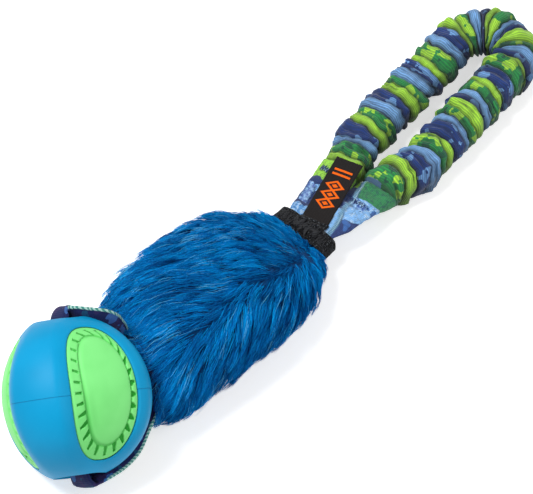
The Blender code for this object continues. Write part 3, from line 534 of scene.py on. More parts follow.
strap_stops = [STRAP_FOLD + STRAP_END_SPACING, *(in_sleeve(*stop) for stop in STRAP_OUT)]
for out, along, rise in STRAP_ROUND:
    strap_stops.append(BALL_MIDDLE + WRAP_RADIUS * (ball_pole * out + Vector((along, 0, rise))))
strap_stops += [*(in_sleeve(*stop) for stop in STRAP_BACK), STRAP_FOLD - STRAP_END_SPACING]
strap_line = flowing(strap_stops, STRAP_SPAN_ROWS)
loop_side = ball_pole.cross(Vector((1, 0, 0))).normalized()
across, _ = squared(turns_of(STRAP_COLUMNS), 0.5)
_, rise = squared(turns_of(STRAP_COLUMNS), 0.62)
strap_rings, strap_along, strap_across = [], [], []
run = 0.0
for i, middle in enumerate(strap_line):
    before, after = strap_line[max(i - 1, 0)], strap_line[min(i + 1, len(strap_line) - 1)]
    run += (middle - before).length
    tangent = (after - before).normalized()
    from_root = min(i, len(strap_line) - 1 - i) / (3 * STRAP_SPAN_ROWS)
    side = square_to(Vector((0, 1, 0)).lerp(loop_side, eased(from_root)), tangent)
    inward = square_to(BALL_MIDDLE - middle, tangent)
    # Off the ball the strap turns on its inner edge, more on the way out than on the way back.
    stop = i / STRAP_SPAN_ROWS
    off_ball = sum(
        eased((stop - start) / soft_start) * eased((end - stop) / soft_end)
        for start, soft_start, end, soft_end in LEANING
    )
    lean_in = (LEAN_OUT if stop < MIDDLE_STOP else LEAN_BACK) * off_ball * math.copysign(1, side.z)
    turned = (side - inward * lean_in).normalized()
    middle = middle + (side - turned) * (STRAP_WIDTH / 2 * math.copysign(1, side.z))
    up = tangent.cross(turned)
    hem = 1 - HEM_DIP * hump(np.abs(across) - HEM_AT, 0.06)
    pucker = 0.00016 * wobble(run * 210, across * 1.5, 3.0)
    bulge = (STRAP_THICKNESS / 2 * (0.80 + 0.20 * (1 - across ** 2)) * hem + pucker) * rise
    in_hole = eased((CUP_FROM - abs((middle - BALL_MIDDLE).dot(ball_pole))) / 0.006)
    cup = STRAP_CUP * across ** 2 * in_hole * ((middle - BALL_MIDDLE).length < CUP_WITHIN)
    offset = np.outer(STRAP_WIDTH / 2 * across, turned) + np.outer(bulge - cup, up)
    strap_rings.append(np.array(middle) + offset)
    hem_shown = 0.86 + 0.14 * (eased((7.8 - stop) / 0.6) + eased((stop - 17.2) / 0.6))
    strap_along.append(np.full(STRAP_COLUMNS, run))
    strap_across.append(across * hem_shown)

strap_print = Finish("strap_print", (28, 36, 88), 0.82, specular_ior_level=0.25, sheen_weight=0.05)
spot = strap_print.place()
across_strap, along_strap = strap_print.mark("across"), strap_print.mark("along")
blot = strap_print.cloud(spot, 150.0, 2.5, 0.55)
blot_two = strap_print.cloud(strap_print.vector("ADD", spot, (3.1, 1.7, 4.0)), 120.0)
cloth = strap_print.blend(blot > 0.52, (18, 30, 80), (42, 34, 84))
cloth = strap_print.blend(blot_two > 0.61, cloth, (60, 104, 170))
cloth = strap_print.blend(blot_two < 0.36, cloth, (14, 70, 104))
hem_stripes = (along_strap * 3600.0 + across_strap * 40.0).sine().step(-0.3, 0.3)
hem = strap_print.blend(hem_stripes, (62, 140, 128), (176, 216, 204))
cloth = strap_print.blend(across_strap.size().step(0.90, 0.94) * 0.9, cloth, hem)
ribbing = along_strap.wave(9000.0) * ((across_strap * 90.0).sine() * 0.3 + 0.7)
strap_print.dress(
    strap_print.blend(ribbing * 0.28, cloth, (16, 22, 60)),
    roughness=0.78 + 0.14 * blot, relief=ribbing * 0.00012,
)

strap = tube_piece("knit_strap", strap_rings, strap_print, along=strap_along, across=strap_across)
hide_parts("strap_cover", "strap_webbing")
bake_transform(strap)

# --- Fur sleeve ---------------------------------------------------------------------------
# A bag of long-pile plush with a knitted back, sewn shut at the neck and open at the mouth.
# The pile leans from the neck to the mouth and parts along one side of its top.
SLEEVE_HALF_WIDTH = 0.0352
SLEEVE_HEIGHT = 0.0465
SLEEVE_MOUTH = -0.046
SLEEVE_NECK = 0.06047
SLEEVE_SQUARENESS = 2 / 2.35
MOUTH_SLANT = 0.38
MOUTH_BOW = 0.005
MOUTH_HEIGHT = 0.022
# Shares of the sleeve's half width and height at each share of its length, from mouth to neck.
WIDTH_SHARES = (
    (0, .80), (.03, .86), (.10, .90), (.25, .94), (.46, .975), (.62, .97), (.76, .89), (.87, .73), (.93, .56),
    (.955, .385), (1, .385),
)
TOP_SHARES = (
    (0, .86), (.03, .92), (.10, .96), (.28, .99), (.46, .98), (.62, .90), (.76, .76), (.87, .58), (.93, .445),
    (.955, .33), (1, .33),
)
LOW_SHARES = (
    (0, .10), (.03, .045), (.10, 0), (.70, 0), (.80, .02), (.87, .07), (.93, .13), (.955, .19), (1, .19),
)
LEAN_SHARES = ((0, 0), (.5, .2), (.75, 0), (1, 0))
BACK_ROWS, BACK_COLUMNS = 70, 128
LINING_SQUARENESS = 0.85
LINING_END = 0.0255
# How deep in the mouth each ring of the lining lies, its half width and its half height.
LINING_RINGS = (
    (-0.0006, 0.0270, 0.0168), (0.0006, 0.02605, 0.0159), (0.008, 0.02605, 0.0159), (0.014, 0.024, 0.0140),
    (0.019, 0.0185, 0.0098), (0.023, 0.0125, 0.0055), (0.0252, 0.0092, 0.0030), (LINING_END, 0.0020, 0.0008),
)
PILE_DEPTH = 0.0030
PILE_PIECES = 6
LOCKS, NECK_LOCKS, LONG_HAIRS = 1850, 230, 420
LOCK_POINTS = 6
HAIR_SIDES = 3
PARTING = math.radians(121)
# How far the pile sweeps to the side, in degrees, at each turn round the sleeve.
SWEEP = (
    (0, -8), (60, -13), (98, -18), (114, -10), (121, 0), (127, 16), (145, 31), (185, 38), (230, 22), (270, 2),
    (315, -6), (360, -8),
)


def sleeve_point(share, turn, inset=0.0):
    """Points of the sleeve's form: share runs from mouth to neck, turn goes round from the left over the top."""
    wide, high, low, lean = [
        np.interp(share, *zip(*pairs)) for pairs in (WIDTH_SHARES, TOP_SHARES, LOW_SHARES, LEAN_SHARES)
    ]
    top = SLEEVE_HEIGHT * high - 0.0005 - inset
    low = SLEEVE_HEIGHT * low - 0.0005 + inset
    across, rise = squared(turn, SLEEVE_SQUARENESS)
    across = across * (SLEEVE_HALF_WIDTH * wide - inset)
    rise = rise * (top - low) / 2
    slant = MOUTH_SLANT * (1 - eased(share / 0.55))
    bow = MOUTH_BOW * (1 - eased(share / 0.4)) * (rise * 2 / SLEEVE_HEIGHT) ** 2
    along = SLEEVE_MOUTH + (SLEEVE_NECK - SLEEVE_MOUTH) * share
    return np.stack([along + slant * across + bow, across - 0.003 * lean, (top + low) / 2 + rise], -1)


def sleeve_axes(share, turn):
    """Steps along the sleeve and round it, and the way out of it, at points of its form."""
    ahead = (sleeve_point(share + 0.004, turn) - sleeve_point(share - 0.004, turn)) / 0.008
    round_it = (sleeve_point(share, turn + 0.01) - sleeve_point(share, turn - 0.01)) / 0.02
    out = np.cross(round_it, ahead)
    out = out / np.linalg.norm(out, axis=-1, keepdims=True)
    outward = np.stack([np.zeros_like(turn), np.cos(turn), np.sin(turn)], -1)
    return ahead, round_it, out * np.sign((out * outward).sum(-1, keepdims=True))


turns = turns_of(BACK_COLUMNS)
back_rings = []
for share in np.linspace(1.0, 0.0, BACK_ROWS):
    inset = PILE_DEPTH * min(1, 0.25 + 3.0 * (1 - share)) if share < 0.955 else 0.0008
    back_rings.append(sleeve_point(np.full(BACK_COLUMNS, share), turns, inset))
for deep, width, height in LINING_RINGS:
    across, rise = squared(turns, LINING_SQUARENESS)
    across, rise = across * width, rise * height
    bow = MOUTH_SLANT * across + MOUTH_BOW * (rise * 2 / SLEEVE_HEIGHT) ** 2
    along = SLEEVE_MOUTH + deep + (1 - deep / LINING_END) * bow
    back_rings.append(np.stack([along, across, MOUTH_HEIGHT + rise], -1))

plush_back = Finish("plush_back", (7, 62, 112), 0.9, specular_ior_level=0.2)
streak = plush_back.vector("MULTIPLY", plush_back.place(), (0.22, 1.0, 1.0))
streaks = plush_back.cloud(streak, 900.0, 3.0, 0.6)
plush_back.dress(
    plush_back.blend(streaks.step(0.3, 0.7), (4, 44, 88), (8, 80, 136)),
    roughness=0.82 + 0.14 * streaks, relief=streaks * 0.0006,
)

fur_back = tube_piece("fur_sleeve_back", back_rings, plush_back)
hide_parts("fur_sleeve")
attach(fur_back, "fur_body")


class Recipe(Bench):
    """A Geometry Nodes tree with named sizes, whose result becomes a plain mesh."""

    def __init__(self, name, **sizes):
        super().__init__(bpy.data.node_groups.new(name, "GeometryNodeTree"))
        sockets = self.tree.interface
        for way in ("INPUT", "OUTPUT"):
            sockets.new_socket("Geometry", in_out=way, socket_type="NodeSocketGeometry")
        self.names = {}
        for label, start in sizes.items():
            kind = {int: "Int", float: "Float"}.get(type(start), "Material")
            socket = sockets.new_socket(label, in_out="INPUT", socket_type="NodeSocket" + kind)
            socket.default_value = start
            self.names[label] = socket.identifier
        self.start = self.tree.nodes.new("NodeGroupInput")

    def full_name(self, kind):
        group = "Geometry"
        if kind in ("Math", "VectorMath", "TexNoise", "MapRange", "CombineXYZ"):
            group = "Shader"
        elif kind in ("RandomValue", "Compare"):
            group = "Function"
        return f"{group}Node{kind}"

    def given(self, label="Geometry"):
        return Dye(self, self.start.outputs[label])

    def chance(self, low, high, seed, by=None):
        return self.add("RandomValue", {"data_type": "FLOAT"}, {2: low, 3: high, 7: by, 8: seed}, out=1)

    def scatter(self, low, high, by):
        values = {0: low, 1: high, 7: by, 8: self.given("seed")}
        return self.add("RandomValue", {"data_type": "FLOAT_VECTOR"}, values, out=0)

    def scaled(self, vector, size):
        return self.add("VectorMath", {"operation": "SCALE"}, {0: vector, 3: size})

    def named(self, label, kind="FLOAT"):
        return self.add("InputNamedAttribute", {"data_type": kind}, {"Name": label}, out=0)

    def moved(self, line, offset):
        return self.add("SetPosition", {}, {0: line, 3: offset})

    def solid(self, line, sides, radius):
        """The line as a rod with closed ends."""
        circle = self.add("CurvePrimitiveCircle", {"mode": "RADIUS"}, {0: sides, 4: 1.0}, out=0)
        return self.add("CurveToMesh", {}, {0: line, 1: circle, 2: radius, 3: True})

    def finished(self, geometry, dressings):
        """The tree's end: instances made real, smooth shading, and a material for each selection."""
        geometry = self.add("SetShadeSmooth", {}, {0: self.add("RealizeInstances", {}, {0: geometry})})
        for chosen, material in dressings:
            geometry = self.add("SetMaterial", {}, {0: geometry, 1: chosen, 2: material})
        self.tree.links.new(geometry.socket, self.tree.nodes.new("NodeGroupOutput").inputs[0])

    def grown(self, name, paths, sizes, **columns):
        """A piece grown by the recipe along rows of points, which keep the given columns."""
        count, length = paths.shape[:2]
        edges = [(i * length + j, i * length + j + 1) for i in range(count) for j in range(length - 1)]
        piece = marked(piece_from(name, paths.reshape(-1, 3), [], edges=edges), **columns)
        change = piece.modifiers.new("recipe", "NODES")
        change.node_group = self.tree
        for label, value in sizes.items():
            change[self.names[label]] = value
        return settled(piece)


# The pile's tints, each used above a shade value from 0 to 1: the middle ones vary the blue at random, the
# darkest is painted shade and the palest painted highlight streaks.
pile_dressings = []
for name, colour, roughness, above in (
    ("pile_shadow", (0, 84, 150), 0.75, -9.0), ("pile_deep", (0, 120, 196), 0.70, 0.30),
    ("pile_blue", (0, 148, 224), 0.66, 0.50), ("pile_bright", (0, 172, 244), 0.62, 0.72),
    ("pile_light", (110, 208, 250), 0.55, 0.955),
):
    pile_dressings.append((above, Finish(name, colour, roughness, specular_ior_level=0.08).material))

pile = Recipe(
    "fur_pile", strands=17, spread=0.0024, gather=0.58, thickness=0.00014, sway=0.0011, shortest=0.60, seed=5,
)
locks = pile.add("MeshToCurve", {}, {0: pile.given()})
strands = pile.add("DuplicateElements", {"domain": "SPLINE"}, {0: locks, 2: pile.given("strands")})
length = pile.chance(pile.given("shortest"), 1.0, pile.given("seed") + 3)
strands = pile.add("TrimCurve", {"mode": "FACTOR"}, {0: strands, 3: length})
strand, share = pile.add("CurveOfPoint"), pile.add("SplineParameter")
scatter, up = pile.scatter((-1, -1, -1), (1, 1, 1), strand), pile.named("up", "FLOAT_VECTOR")
scatter = pile.vector("SUBTRACT", scatter, pile.scaled(up, pile.along(scatter, up) * 0.75))
scatter = pile.scaled(scatter, pile.given("spread") * (1 - share * pile.given("gather")))
shift = pile.add("CombineXYZ", {}, (pile.chance(0, 9, 21, strand), pile.chance(0, 9, 22, strand), 0.0))
spot = pile.vector("ADD", pile.add("InputPosition"), shift)
bend = pile.add("TexNoise", {}, {"Vector": spot, "Scale": 130.0, "Detail": 1.0}, out=1)
bend = pile.scaled(pile.vector("SUBTRACT", bend, (0.5, 0.5, 0.5)), pile.given("sway") * share * 2.0)
strands = pile.moved(strands, pile.vector("ADD", scatter, bend))
# Each strand's shade value picks its tint below: random tone, painted shade or a painted highlight.
tint = pile.named("tint") + pile.chance(-0.24, 0.24, 31)
kept_shade = {0: strands, 2: "shade", 3: tint}
strands = pile.add("StoreNamedAttribute", {"data_type": "FLOAT", "domain": "CURVE"}, kept_shade)
hairs = pile.solid(strands, HAIR_SIDES, pile.given("thickness") * (1 - share ** 2.0 * 0.8))
pile.finished(hairs, [
    (pile.add("Compare", {"operation": "GREATER_THAN"}, {0: pile.named("shade"), 1: above}), material)
    for above, material in pile_dressings
])


def lock_paths(amount, lengths, seed, lift_more=0.0, from_share=0.004):
    """Combed paths over the sleeve from root to tip, with the way out and a shade for each."""
    chance = np.random.default_rng(seed)
    share = chance.uniform(from_share, 0.972, amount * 5)
    turn = chance.uniform(0, 2 * math.pi, amount * 5)
    ahead, round_it, _ = sleeve_axes(share, turn)
    area = np.linalg.norm(ahead, axis=-1) * np.linalg.norm(round_it, axis=-1)
    kept = np.flatnonzero(chance.uniform(0, 1, amount * 5) < area / area.max())[:amount]
    share, turn = share[kept], turn[kept]
    length = chance.uniform(*lengths, len(kept)) * (1 - 0.35 * eased((share - 0.88) / 0.08))
    root = share * 5.0, np.cos(turn) * 1.3, np.sin(turn) * 1.3
    high = wobble(*(way * 1.1 for way in root))
    low = wobble(*(way * 2.6 + shift for way, shift in zip(root, (7, 3, 1))))
    height = PILE_DEPTH * (1.02 + 0.24 * chance.normal(0, 1, len(kept))) + lift_more + 0.0013 * low
    stride = length / (LOCK_POINTS - 1)
    points, ways = [], []
    for part in np.arange(LOCK_POINTS) / (LOCK_POINTS - 1):
        ahead, round_it, out = sleeve_axes(share, turn)
        valley = hump(turn - PARTING, 0.11) * eased((share - 0.25) / 0.3)
        rooted = PILE_DEPTH + (0.0007 - PILE_DEPTH) * eased((share - 0.90) / 0.055)
        lift = -rooted * (1 - 0.15 * part) + height * (1 - (1 - part) ** 2.2) * (1 - 0.55 * valley)
        place = sleeve_point(share, turn) + out * lift[:, None]
        place[:, 2] = np.maximum(place[:, 2], 0.0003 + 0.0004 * np.abs(high))
        points.append(place)
        ways.append(out)
        degrees = np.degrees(turn)
        right_side = eased((degrees - 121) / 25) * eased((290 - degrees) / 40)
        sweep = np.interp(degrees % 360, *zip(*SWEEP)) * (1 + 0.55 * right_side * eased((share - 0.62) / 0.28))
        sweep = sweep + 20 * high + 13 * low * part + 16 * np.sin(part * 2.4 + high * 5) * low
        share = share - stride * np.cos(np.radians(sweep)) / np.linalg.norm(ahead, axis=-1)
        turn = turn + stride * np.sin(np.radians(sweep)) / np.linalg.norm(round_it, axis=-1)
        share = np.maximum(share, -0.035 + 0.012 * low)
    # Painted shade: locks whose tips lie in the parting's valley get a darker shade value.
    parting_shade = hump(turn - PARTING - 0.03, 0.20) * eased((share + 0.15) / 0.5)
    shade = 0.52 + 0.34 * low + 0.16 * high + 0.10 * chance.normal(0, 1, len(kept)) - 0.30 * parting_shade
    return np.stack(points, 1), np.stack(ways, 1), np.clip(shade, 0, 1), turn


def pile_piece(name, points, ways, shade, **sizes):
    """One piece of pile grown along the given paths."""
    piece = pile.grown(name, points, sizes, up=ways.reshape(-1, 3), tint=np.repeat(shade, LOCK_POINTS))
    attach(piece, "fur_body")


points, ways, shade, last_turn = lock_paths(LOCKS, (0.0105, 0.0170), 11)
order = np.argsort(last_turn % (2 * math.pi))
for number, chosen in enumerate(np.array_split(order, PILE_PIECES)):
    pile_piece(f"fur_pile_{number + 1}", points[chosen], ways[chosen], shade[chosen], seed=5 + number)
points, ways, shade, _ = lock_paths(NECK_LOCKS, (0.0075, 0.0125), 17, lift_more=0.0002, from_share=0.925)
pile_piece("fur_neck_pile", points, ways, shade, seed=12)
points, ways, shade, _ = lock_paths(LONG_HAIRS, (0.014, 0.022), 23, lift_more=0.0004)
# The long hairs' shade value is raised, so they take the bright tint and the pale tint of painted highlights.
pile_piece(
    "fur_long_hairs", points, ways, shade + 0.44,
    strands=2, spread=0.0028, gather=0.2, thickness=0.00010, sway=0.0026, shortest=0.8,
)

# --- Webbing and sewing inside the sleeve -------------------------------------------------
# Flat black webbing joins the strap's two ends to the neck, with box sewing over the ends. Only
# its first few millimetres can be glimpsed, deep in the mouth.
WEBBING_FRONT, WEBBING_END = -0.0226, 0.0652
WEBBING_ROWS, WEBBING_COLUMNS = 90, 40
TAPER_FROM, TAPER_LENGTH = -0.023, 0.0804
# Its half width, thickness and height at the mouth's end and at the neck.
WEBBING_HALF_WIDTHS, WEBBING_THICKNESSES, WEBBING_HEIGHTS = (0.01475, 0.01025), (0.0034, 0.0016), (0.022, 0.012)


def between(low, high, share):
    return low + (high - low) * share


across, rise = squared(turns_of(WEBBING_COLUMNS), 0.4)
webbing_rings = []
for x in np.linspace(WEBBING_FRONT, WEBBING_END, WEBBING_ROWS):
    share = (x - TAPER_FROM) / TAPER_LENGTH
    half_width = between(*WEBBING_HALF_WIDTHS, eased(share * 1.6))
    thickness = between(*WEBBING_THICKNESSES, eased(share * 1.3 - 0.3))
    height = between(*WEBBING_HEIGHTS, eased(share)) + thickness / 2 * rise
    webbing_rings.append(np.stack([np.full(WEBBING_COLUMNS, x), half_width * across, height], -1))

black_weave = Finish("black_weave", (26, 27, 31), 0.72, sheen_weight=0.15)
crossing = (black_weave.mark("along") * 5200.0).sine() * (black_weave.mark("across") * 5200.0).sine()
weave = crossing.step(-0.8, 0.8)
black_weave.dress(
    black_weave.blend(weave, (16, 17, 20), (44, 46, 52)),
    roughness=0.62 + 0.18 * weave, relief=weave * 0.0002,
)

along, across, _ = np.concatenate(webbing_rings).T
webbing = tube_piece("core_webbing_strap", webbing_rings, black_weave, across=across, along=along)
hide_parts("core_webbing")
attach(webbing, "fur_body")

for node, name, dark, light in (
    ("core_stitching", "black_sewing_thread", (14, 14, 17), (40, 41, 46)),
    ("sleeve_seam_thread", "blue_sewing_thread", (6, 48, 92), (20, 92, 150)),
):
    thread = Finish(name, light, 0.5)
    ply = (thread.along(thread.place(), (1.0, 0.6, 0.8)) * 9000.0).sine().step(-0.6, 0.6)
    thread.dress(thread.blend(ply, dark, light), roughness=0.42 + 0.16 * ply, relief=ply * 0.0001)
    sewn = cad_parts[node]
    sewn = bpy.data.objects[sewn] if isinstance(sewn, str) else sewn
    sewn.data.materials.clear()
    sewn.data.materials.append(thread.material)

# --- Binding tape -------------------------------------------------------------------------
# Black ribbed tape folded round the neck, over the sleeve's end and the roots of the handle,
# and sewn through all of it with rough zigzag stitches in thick black thread.
BINDING_BACK, BINDING_FRONT = 0.0574, 0.0666
BINDING_HALF_WIDTH = 0.0152
BINDING_HALF_HEIGHT = 0.0050
BINDING_HEIGHT = 0.012
TAPE_WALL = 0.0013
TAPE_COLUMNS = 220
TAPE_EDGE = 0.09
RIBS = 11
RIB_STEPS = 66
RIB_HEIGHT = 0.00009
EDGE_DROP = 0.0006
TAPE_LUMPS, TAPE_SWAY = 0.00028, 0.00035
# The inner face of the tape: share of its length, how far in, and the power of its oval.
TAPE_INSIDE = (
    (0.985, TAPE_WALL * 0.6, 4.4), (0.97, TAPE_WALL, 5.0),
    (0.03, TAPE_WALL, 5.0), (0.015, TAPE_WALL * 0.6, 4.4),
)
tape_profile = []
for share in np.arange(RIB_STEPS + 1) / RIB_STEPS:
    rounding = 1 - max(0.0, 1 - min(share, 1 - share) / TAPE_EDGE)
    drop = EDGE_DROP * (1 - math.sqrt(1 - (1 - rounding) ** 2))
    tape_profile.append((share, drop, RIB_HEIGHT * rounding, 4.0))
tape_profile += [(share, drop, 0.0, power) for share, drop, power in TAPE_INSIDE]
tape_rings = []
for share, drop, rib_height, power in tape_profile:
    x = between(BINDING_BACK, BINDING_FRONT, share)
    across, rise = squared(turns_of(TAPE_COLUMNS), 2 / power)
    grow = rib_height * math.sin(2 * math.pi * RIBS * share) * 1.6
    grow = (grow + wobble(x * 260, across * 2.6, rise * 1.5) * TAPE_LUMPS) * (drop < TAPE_WALL or rib_height > 0)
    grow = grow * (1.0 if rib_height else 0.4) - drop
    sway = wobble(5.0, across * 3.0, rise) * (TAPE_SWAY if share > 0.5 else -TAPE_SWAY)
    tape_rings.append(np.stack([
        x + sway, (BINDING_HALF_WIDTH + grow) * across, BINDING_HEIGHT + (BINDING_HALF_HEIGHT + grow) * rise,
    ], -1))
tape_along = [between(BINDING_BACK, BINDING_FRONT, share) for share, *_ in tape_profile]

binding_cloth = Finish("binding_cloth", (22, 23, 26), 0.9, specular_ior_level=0.12, sheen_weight=0.05)
spot = binding_cloth.place()
lint = binding_cloth.cloud(spot, 1500.0, 2.0, 0.7)
nap = binding_cloth.cloud(spot, 700.0, 3.0, 0.6)
ribs = (binding_cloth.mark("along") - BINDING_BACK).wave(2 * math.pi * RIBS / (BINDING_FRONT - BINDING_BACK))
cross = binding_cloth.along(spot, (0.0, 6000.0, 3000.0)).wave(1.0)
cloth = binding_cloth.blend(ribs * 0.5 + cross * 0.3, (7, 7, 9), (27, 28, 31))
cloth = binding_cloth.blend(nap.step(0.5, 0.8) * 0.5, cloth, (8, 8, 9))
binding_cloth.dress(
    binding_cloth.blend(lint.step(0.56, 0.66) * 0.55, cloth, (112, 118, 124)),
    roughness=0.84 + 0.12 * nap, relief=lint * 0.00035 + nap * 0.0005 + cross * 0.00012,
)

tape_faces = grid_faces(len(tape_rings), TAPE_COLUMNS, loop=True)
tape = piece_from("binding_band", np.concatenate(tape_rings), tape_faces, binding_cloth)
facing_out(marked(tape, along=np.repeat(tape_along, TAPE_COLUMNS)))
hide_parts("binding_tape")
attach(tape, "fur_body")

# --- Tuck over the label's root -----------------------------------------------------------
# A crumpled scrap of the same tape, folded forward over the label's root and sewn down with it,
# so that it stands up in lumps under the stitches.
TUCK_ROWS = 46
TUCK_LEFT, TUCK_WIDTH = -0.0080, 0.0132
TUCK_BACK, TUCK_FRONT = 0.0588, 0.0683
TUCK_TOP = 0.0162
TUCK_THICKNESS, TUCK_SINK = 0.0011, 0.0002
CLIMB_FROM, CLIMB_LENGTH = 0.0650, 0.0035
# Place along and across of each lump, and its height.
TUCK_LUMPS = (
    (0.0612, -0.0052, 0.0016), (0.0634, -0.0022, 0.0013), (0.0606, -0.0012, 0.0012), (0.0642, 0.0020, 0.0011),
    (0.0618, 0.0026, 0.0014), (0.0652, -0.0050, 0.0011),
)


def binding_top(y):
    """Height of the binding's top at a place across it."""
    share = np.minimum(np.abs(y) / BINDING_HALF_WIDTH, 1.0)
    return BINDING_HEIGHT + BINDING_HALF_HEIGHT * (1 - share ** 4) ** 0.25


def slab_faces(rows, columns):
    """Faces over two like grids of points, the upper and the lower, with a wall round their rims."""
    upper = grid_faces(rows, columns, wrap=False)
    half = rows * columns
    rim = [*range(columns), *range(2 * columns - 1, half, columns)]
    rim += [*range(half - 2, half - columns - 1, -1), *range(half - 2 * columns, 0, -columns)]
    walls = [(a, b, half + b, half + a) for a, b in zip(rim, rim[1:] + rim[:1])]
    return upper + [tuple(half + corner for corner in face) for face in upper] + walls


part, k = np.arange(TUCK_ROWS)[:, None] / (TUCK_ROWS - 1), np.arange(TUCK_ROWS)[None, :]
y = TUCK_LEFT + TUCK_WIDTH * k / (TUCK_ROWS - 1) + 0 * part
x = between(TUCK_BACK, TUCK_FRONT - (y + 0.0012) * 0.27, part) + 0.0008 * np.sin(k * 0.55) * (1 - part)
height = between(binding_top(y), TUCK_TOP, eased((x - CLIMB_FROM) / CLIMB_LENGTH))
edge = np.minimum(np.minimum(part / 0.12, (1 - part) / 0.05), np.minimum(k, TUCK_ROWS - 1 - k) / 5).clip(0, 1)
crumple = wobble(x * 480, y * 430, 4.0) * 0.0011 + wobble(x * 190, y * 210, 1.0) * 0.0008
lumps = sum(size * hump(x - lump_x, 0.0013) * hump(y - lump_y, 0.0012) for lump_x, lump_y, size in TUCK_LUMPS)
top = height + (TUCK_THICKNESS + crumple + lumps) * np.sqrt(edge)
tuck_points = np.stack([np.stack([x, y, level], -1) for level in (top, height - TUCK_SINK)]).reshape(-1, 3)
tuck = piece_from("label_tuck", tuck_points, slab_faces(TUCK_ROWS, TUCK_ROWS), binding_cloth)
facing_out(marked(tuck, along=tuck_points[:, 0]))
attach(tuck, "fur_body")

# --- Binding thread -----------------------------------------------------------------------
# Thick black thread in two rough rows of zigzag right across the binding, and a knotted row over
# the tuck, each sewn through all the layers.
THREAD_SUBDIVISIONS = 5
THREAD_SIDES = 6
ZIGZAG_LINE = 0.0618
OVER_TUCK = 0.0014
TUCK_FROM, TUCK_TO = -0.0085, 0.0056
ZIGZAG_STOPS = 40
PLY_WAY = (5200.0, 4200.0, 3000.0)
thick_thread = Finish("thick_black_thread", (22, 22, 26), 0.62, specular_ior_level=0.25)
spot = thick_thread.place()
ply = thick_thread.along(spot, PLY_WAY).wave(1.0)
fluff = thick_thread.cloud(spot, 1500.0, 3.0, 0.7)
thick_thread.dress(
    thick_thread.blend(ply * 0.6 + fluff * 0.3, (6, 6, 8), (50, 52, 57)),
    roughness=0.45 + 0.25 * fluff, relief=ply * 0.00015 + fluff * 0.0003,
)

sewing = Recipe(
    "zigzag_sewing", stitches=26, reach=0.003, thickness=0.0003, loose=0.0004, sink=0.0002, seed=3,
    thread=thick_thread.material,
)
line = sewing.add("MeshToCurve", {}, {0: sewing.given()})
line = sewing.add("ResampleCurve", {"mode": "COUNT"}, {0: line, 2: sewing.given("stitches") + 1})
number = sewing.add("InputIndex")
jitter = sewing.scaled(sewing.scatter((-1, -1, -0.2), (1, 1, 0.2), number), sewing.given("loose"))
swing = ((number % 2.0) * 2.0 - 1.0) * sewing.given("reach")
swing = sewing.scaled(sewing.named("side", "FLOAT_VECTOR"), swing)
line = sewing.moved(line, sewing.vector("ADD", jitter, swing))
line = sewing.add("CurveSplineType", {"spline_type": "POLY"}, {0: line})
line = sewing.add("SubdivideCurve", {}, {0: line, 1: THREAD_SUBDIVISIONS})
steps = THREAD_SUBDIVISIONS + 1
arch = ((sewing.add("InputIndex") % float(steps)) * (math.pi / steps)).sine()
rise = arch * sewing.given("sink") * 2.0 - sewing.given("sink")
line = sewing.moved(line, sewing.scaled(sewing.named("up", "FLOAT_VECTOR"), rise))
sewing.finished(sewing.solid(line, THREAD_SIDES, sewing.given("thickness")), [(None, sewing.given("thread"))])


def sewn_line(name, stops, way, finish, **sizes):
    """A run of sewing along the stops, swinging to the way's two sides."""
    stops = np.array(stops)[None]
    ways = {"side": np.array([way] * stops.shape[1]), "up": np.array([(0, 0, 1)] * stops.shape[1])}
    return sewing.grown(name, stops, {**sizes, "thread": finish.material}, **ways)


for name, low, high, stitches, reach, thickness, loose, seed in (
    ("binding_zigzag", -0.0128, 0.0128, 44, 0.0024, 0.00019, 0.00050, 3),
    ("binding_zigzag_second", -0.0115, 0.0120, 30, 0.0019, 0.00019, 0.0011, 4),
    ("binding_knotting", -0.0070, 0.0044, 22, 0.0026, 0.00036, 0.0018, 9),
):
    y = np.linspace(low, high, ZIGZAG_STOPS)
    over_tuck = OVER_TUCK * eased((y - TUCK_FROM) / 0.001) * eased((TUCK_TO - y) / 0.001)
    height = binding_top(y) + thickness * 0.9 + over_tuck
    stops = np.stack([ZIGZAG_LINE + 0.0004 * np.sin(y * 700), y, height], -1)
    piece = sewn_line(
        name, stops, (1, 0, 0), thick_thread,
        stitches=stitches, reach=reach, thickness=thickness, loose=loose, sink=0.00022, seed=seed,
    )
    if name == "binding_zigzag":
        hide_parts("binding_thread")
    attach(piece, "fur_body")

# --- Handle bases -------------------------------------------------------------------------
# Each strand ends in a flat sewn piece of the striped knit round the elastic's flattened end.
# The left one laps over the right, both roots are held in the binding, and satin tacks hold them.
HANDLE_TURN = math.radians(5.3)
HANDLE_ROOT_X, HANDLE_ROOT_Y = 0.062, -0.0014
LOOP_HEIGHT = 0.010
ROOT_OFFSET = 0.0107
BASE_FROM, BASE_TO = 0.0010, 0.0392
BASE_ROWS, BASE_COLUMNS = 84, 132
BASE_POWER = 2.6
LAP_FROM, LAP_TO = -0.0104, -0.0042
LAP_START, LAP_LENGTH = 0.0043, 0.0361
LAP_STEP, LAP_GROOVE, LAP_HEM = 0.00055, 0.0003, 0.0019
LAP_HEIGHT = 0.0022
ROOT_WIDTH, STRAND_WIDTH, ROOT_SPREAD = 0.0148, 0.0178, 0.0021
FLAT_THICKNESS, FOLDED_THICKNESS, STRAND_THICKNESS = 0.0022, 0.0036, 0.0090
SOFT_SWELL, FOLD_SWELL, TACK_DIP = 0.00085, 0.00070, 0.0008
CORD_RADIUS = 0.0042
ELASTIC_INSET, ELASTIC_SUNK = 0.0022, 0.0011
ELASTIC_ROWS, ELASTIC_COLUMNS = 30, 32
LEFT, RIGHT = 1, -1
ROOT_PLACES = {LEFT: 0.0056, RIGHT: -0.0012}
# Where each satin tack presses its base in: the hollow's middle and reach along it, then across.
TACK_HOLLOWS = {LEFT: (0.0213, 0.0036, 0.0125, 0.0040), RIGHT: (0.0262, 0.0022, -0.0115, 0.0055)}


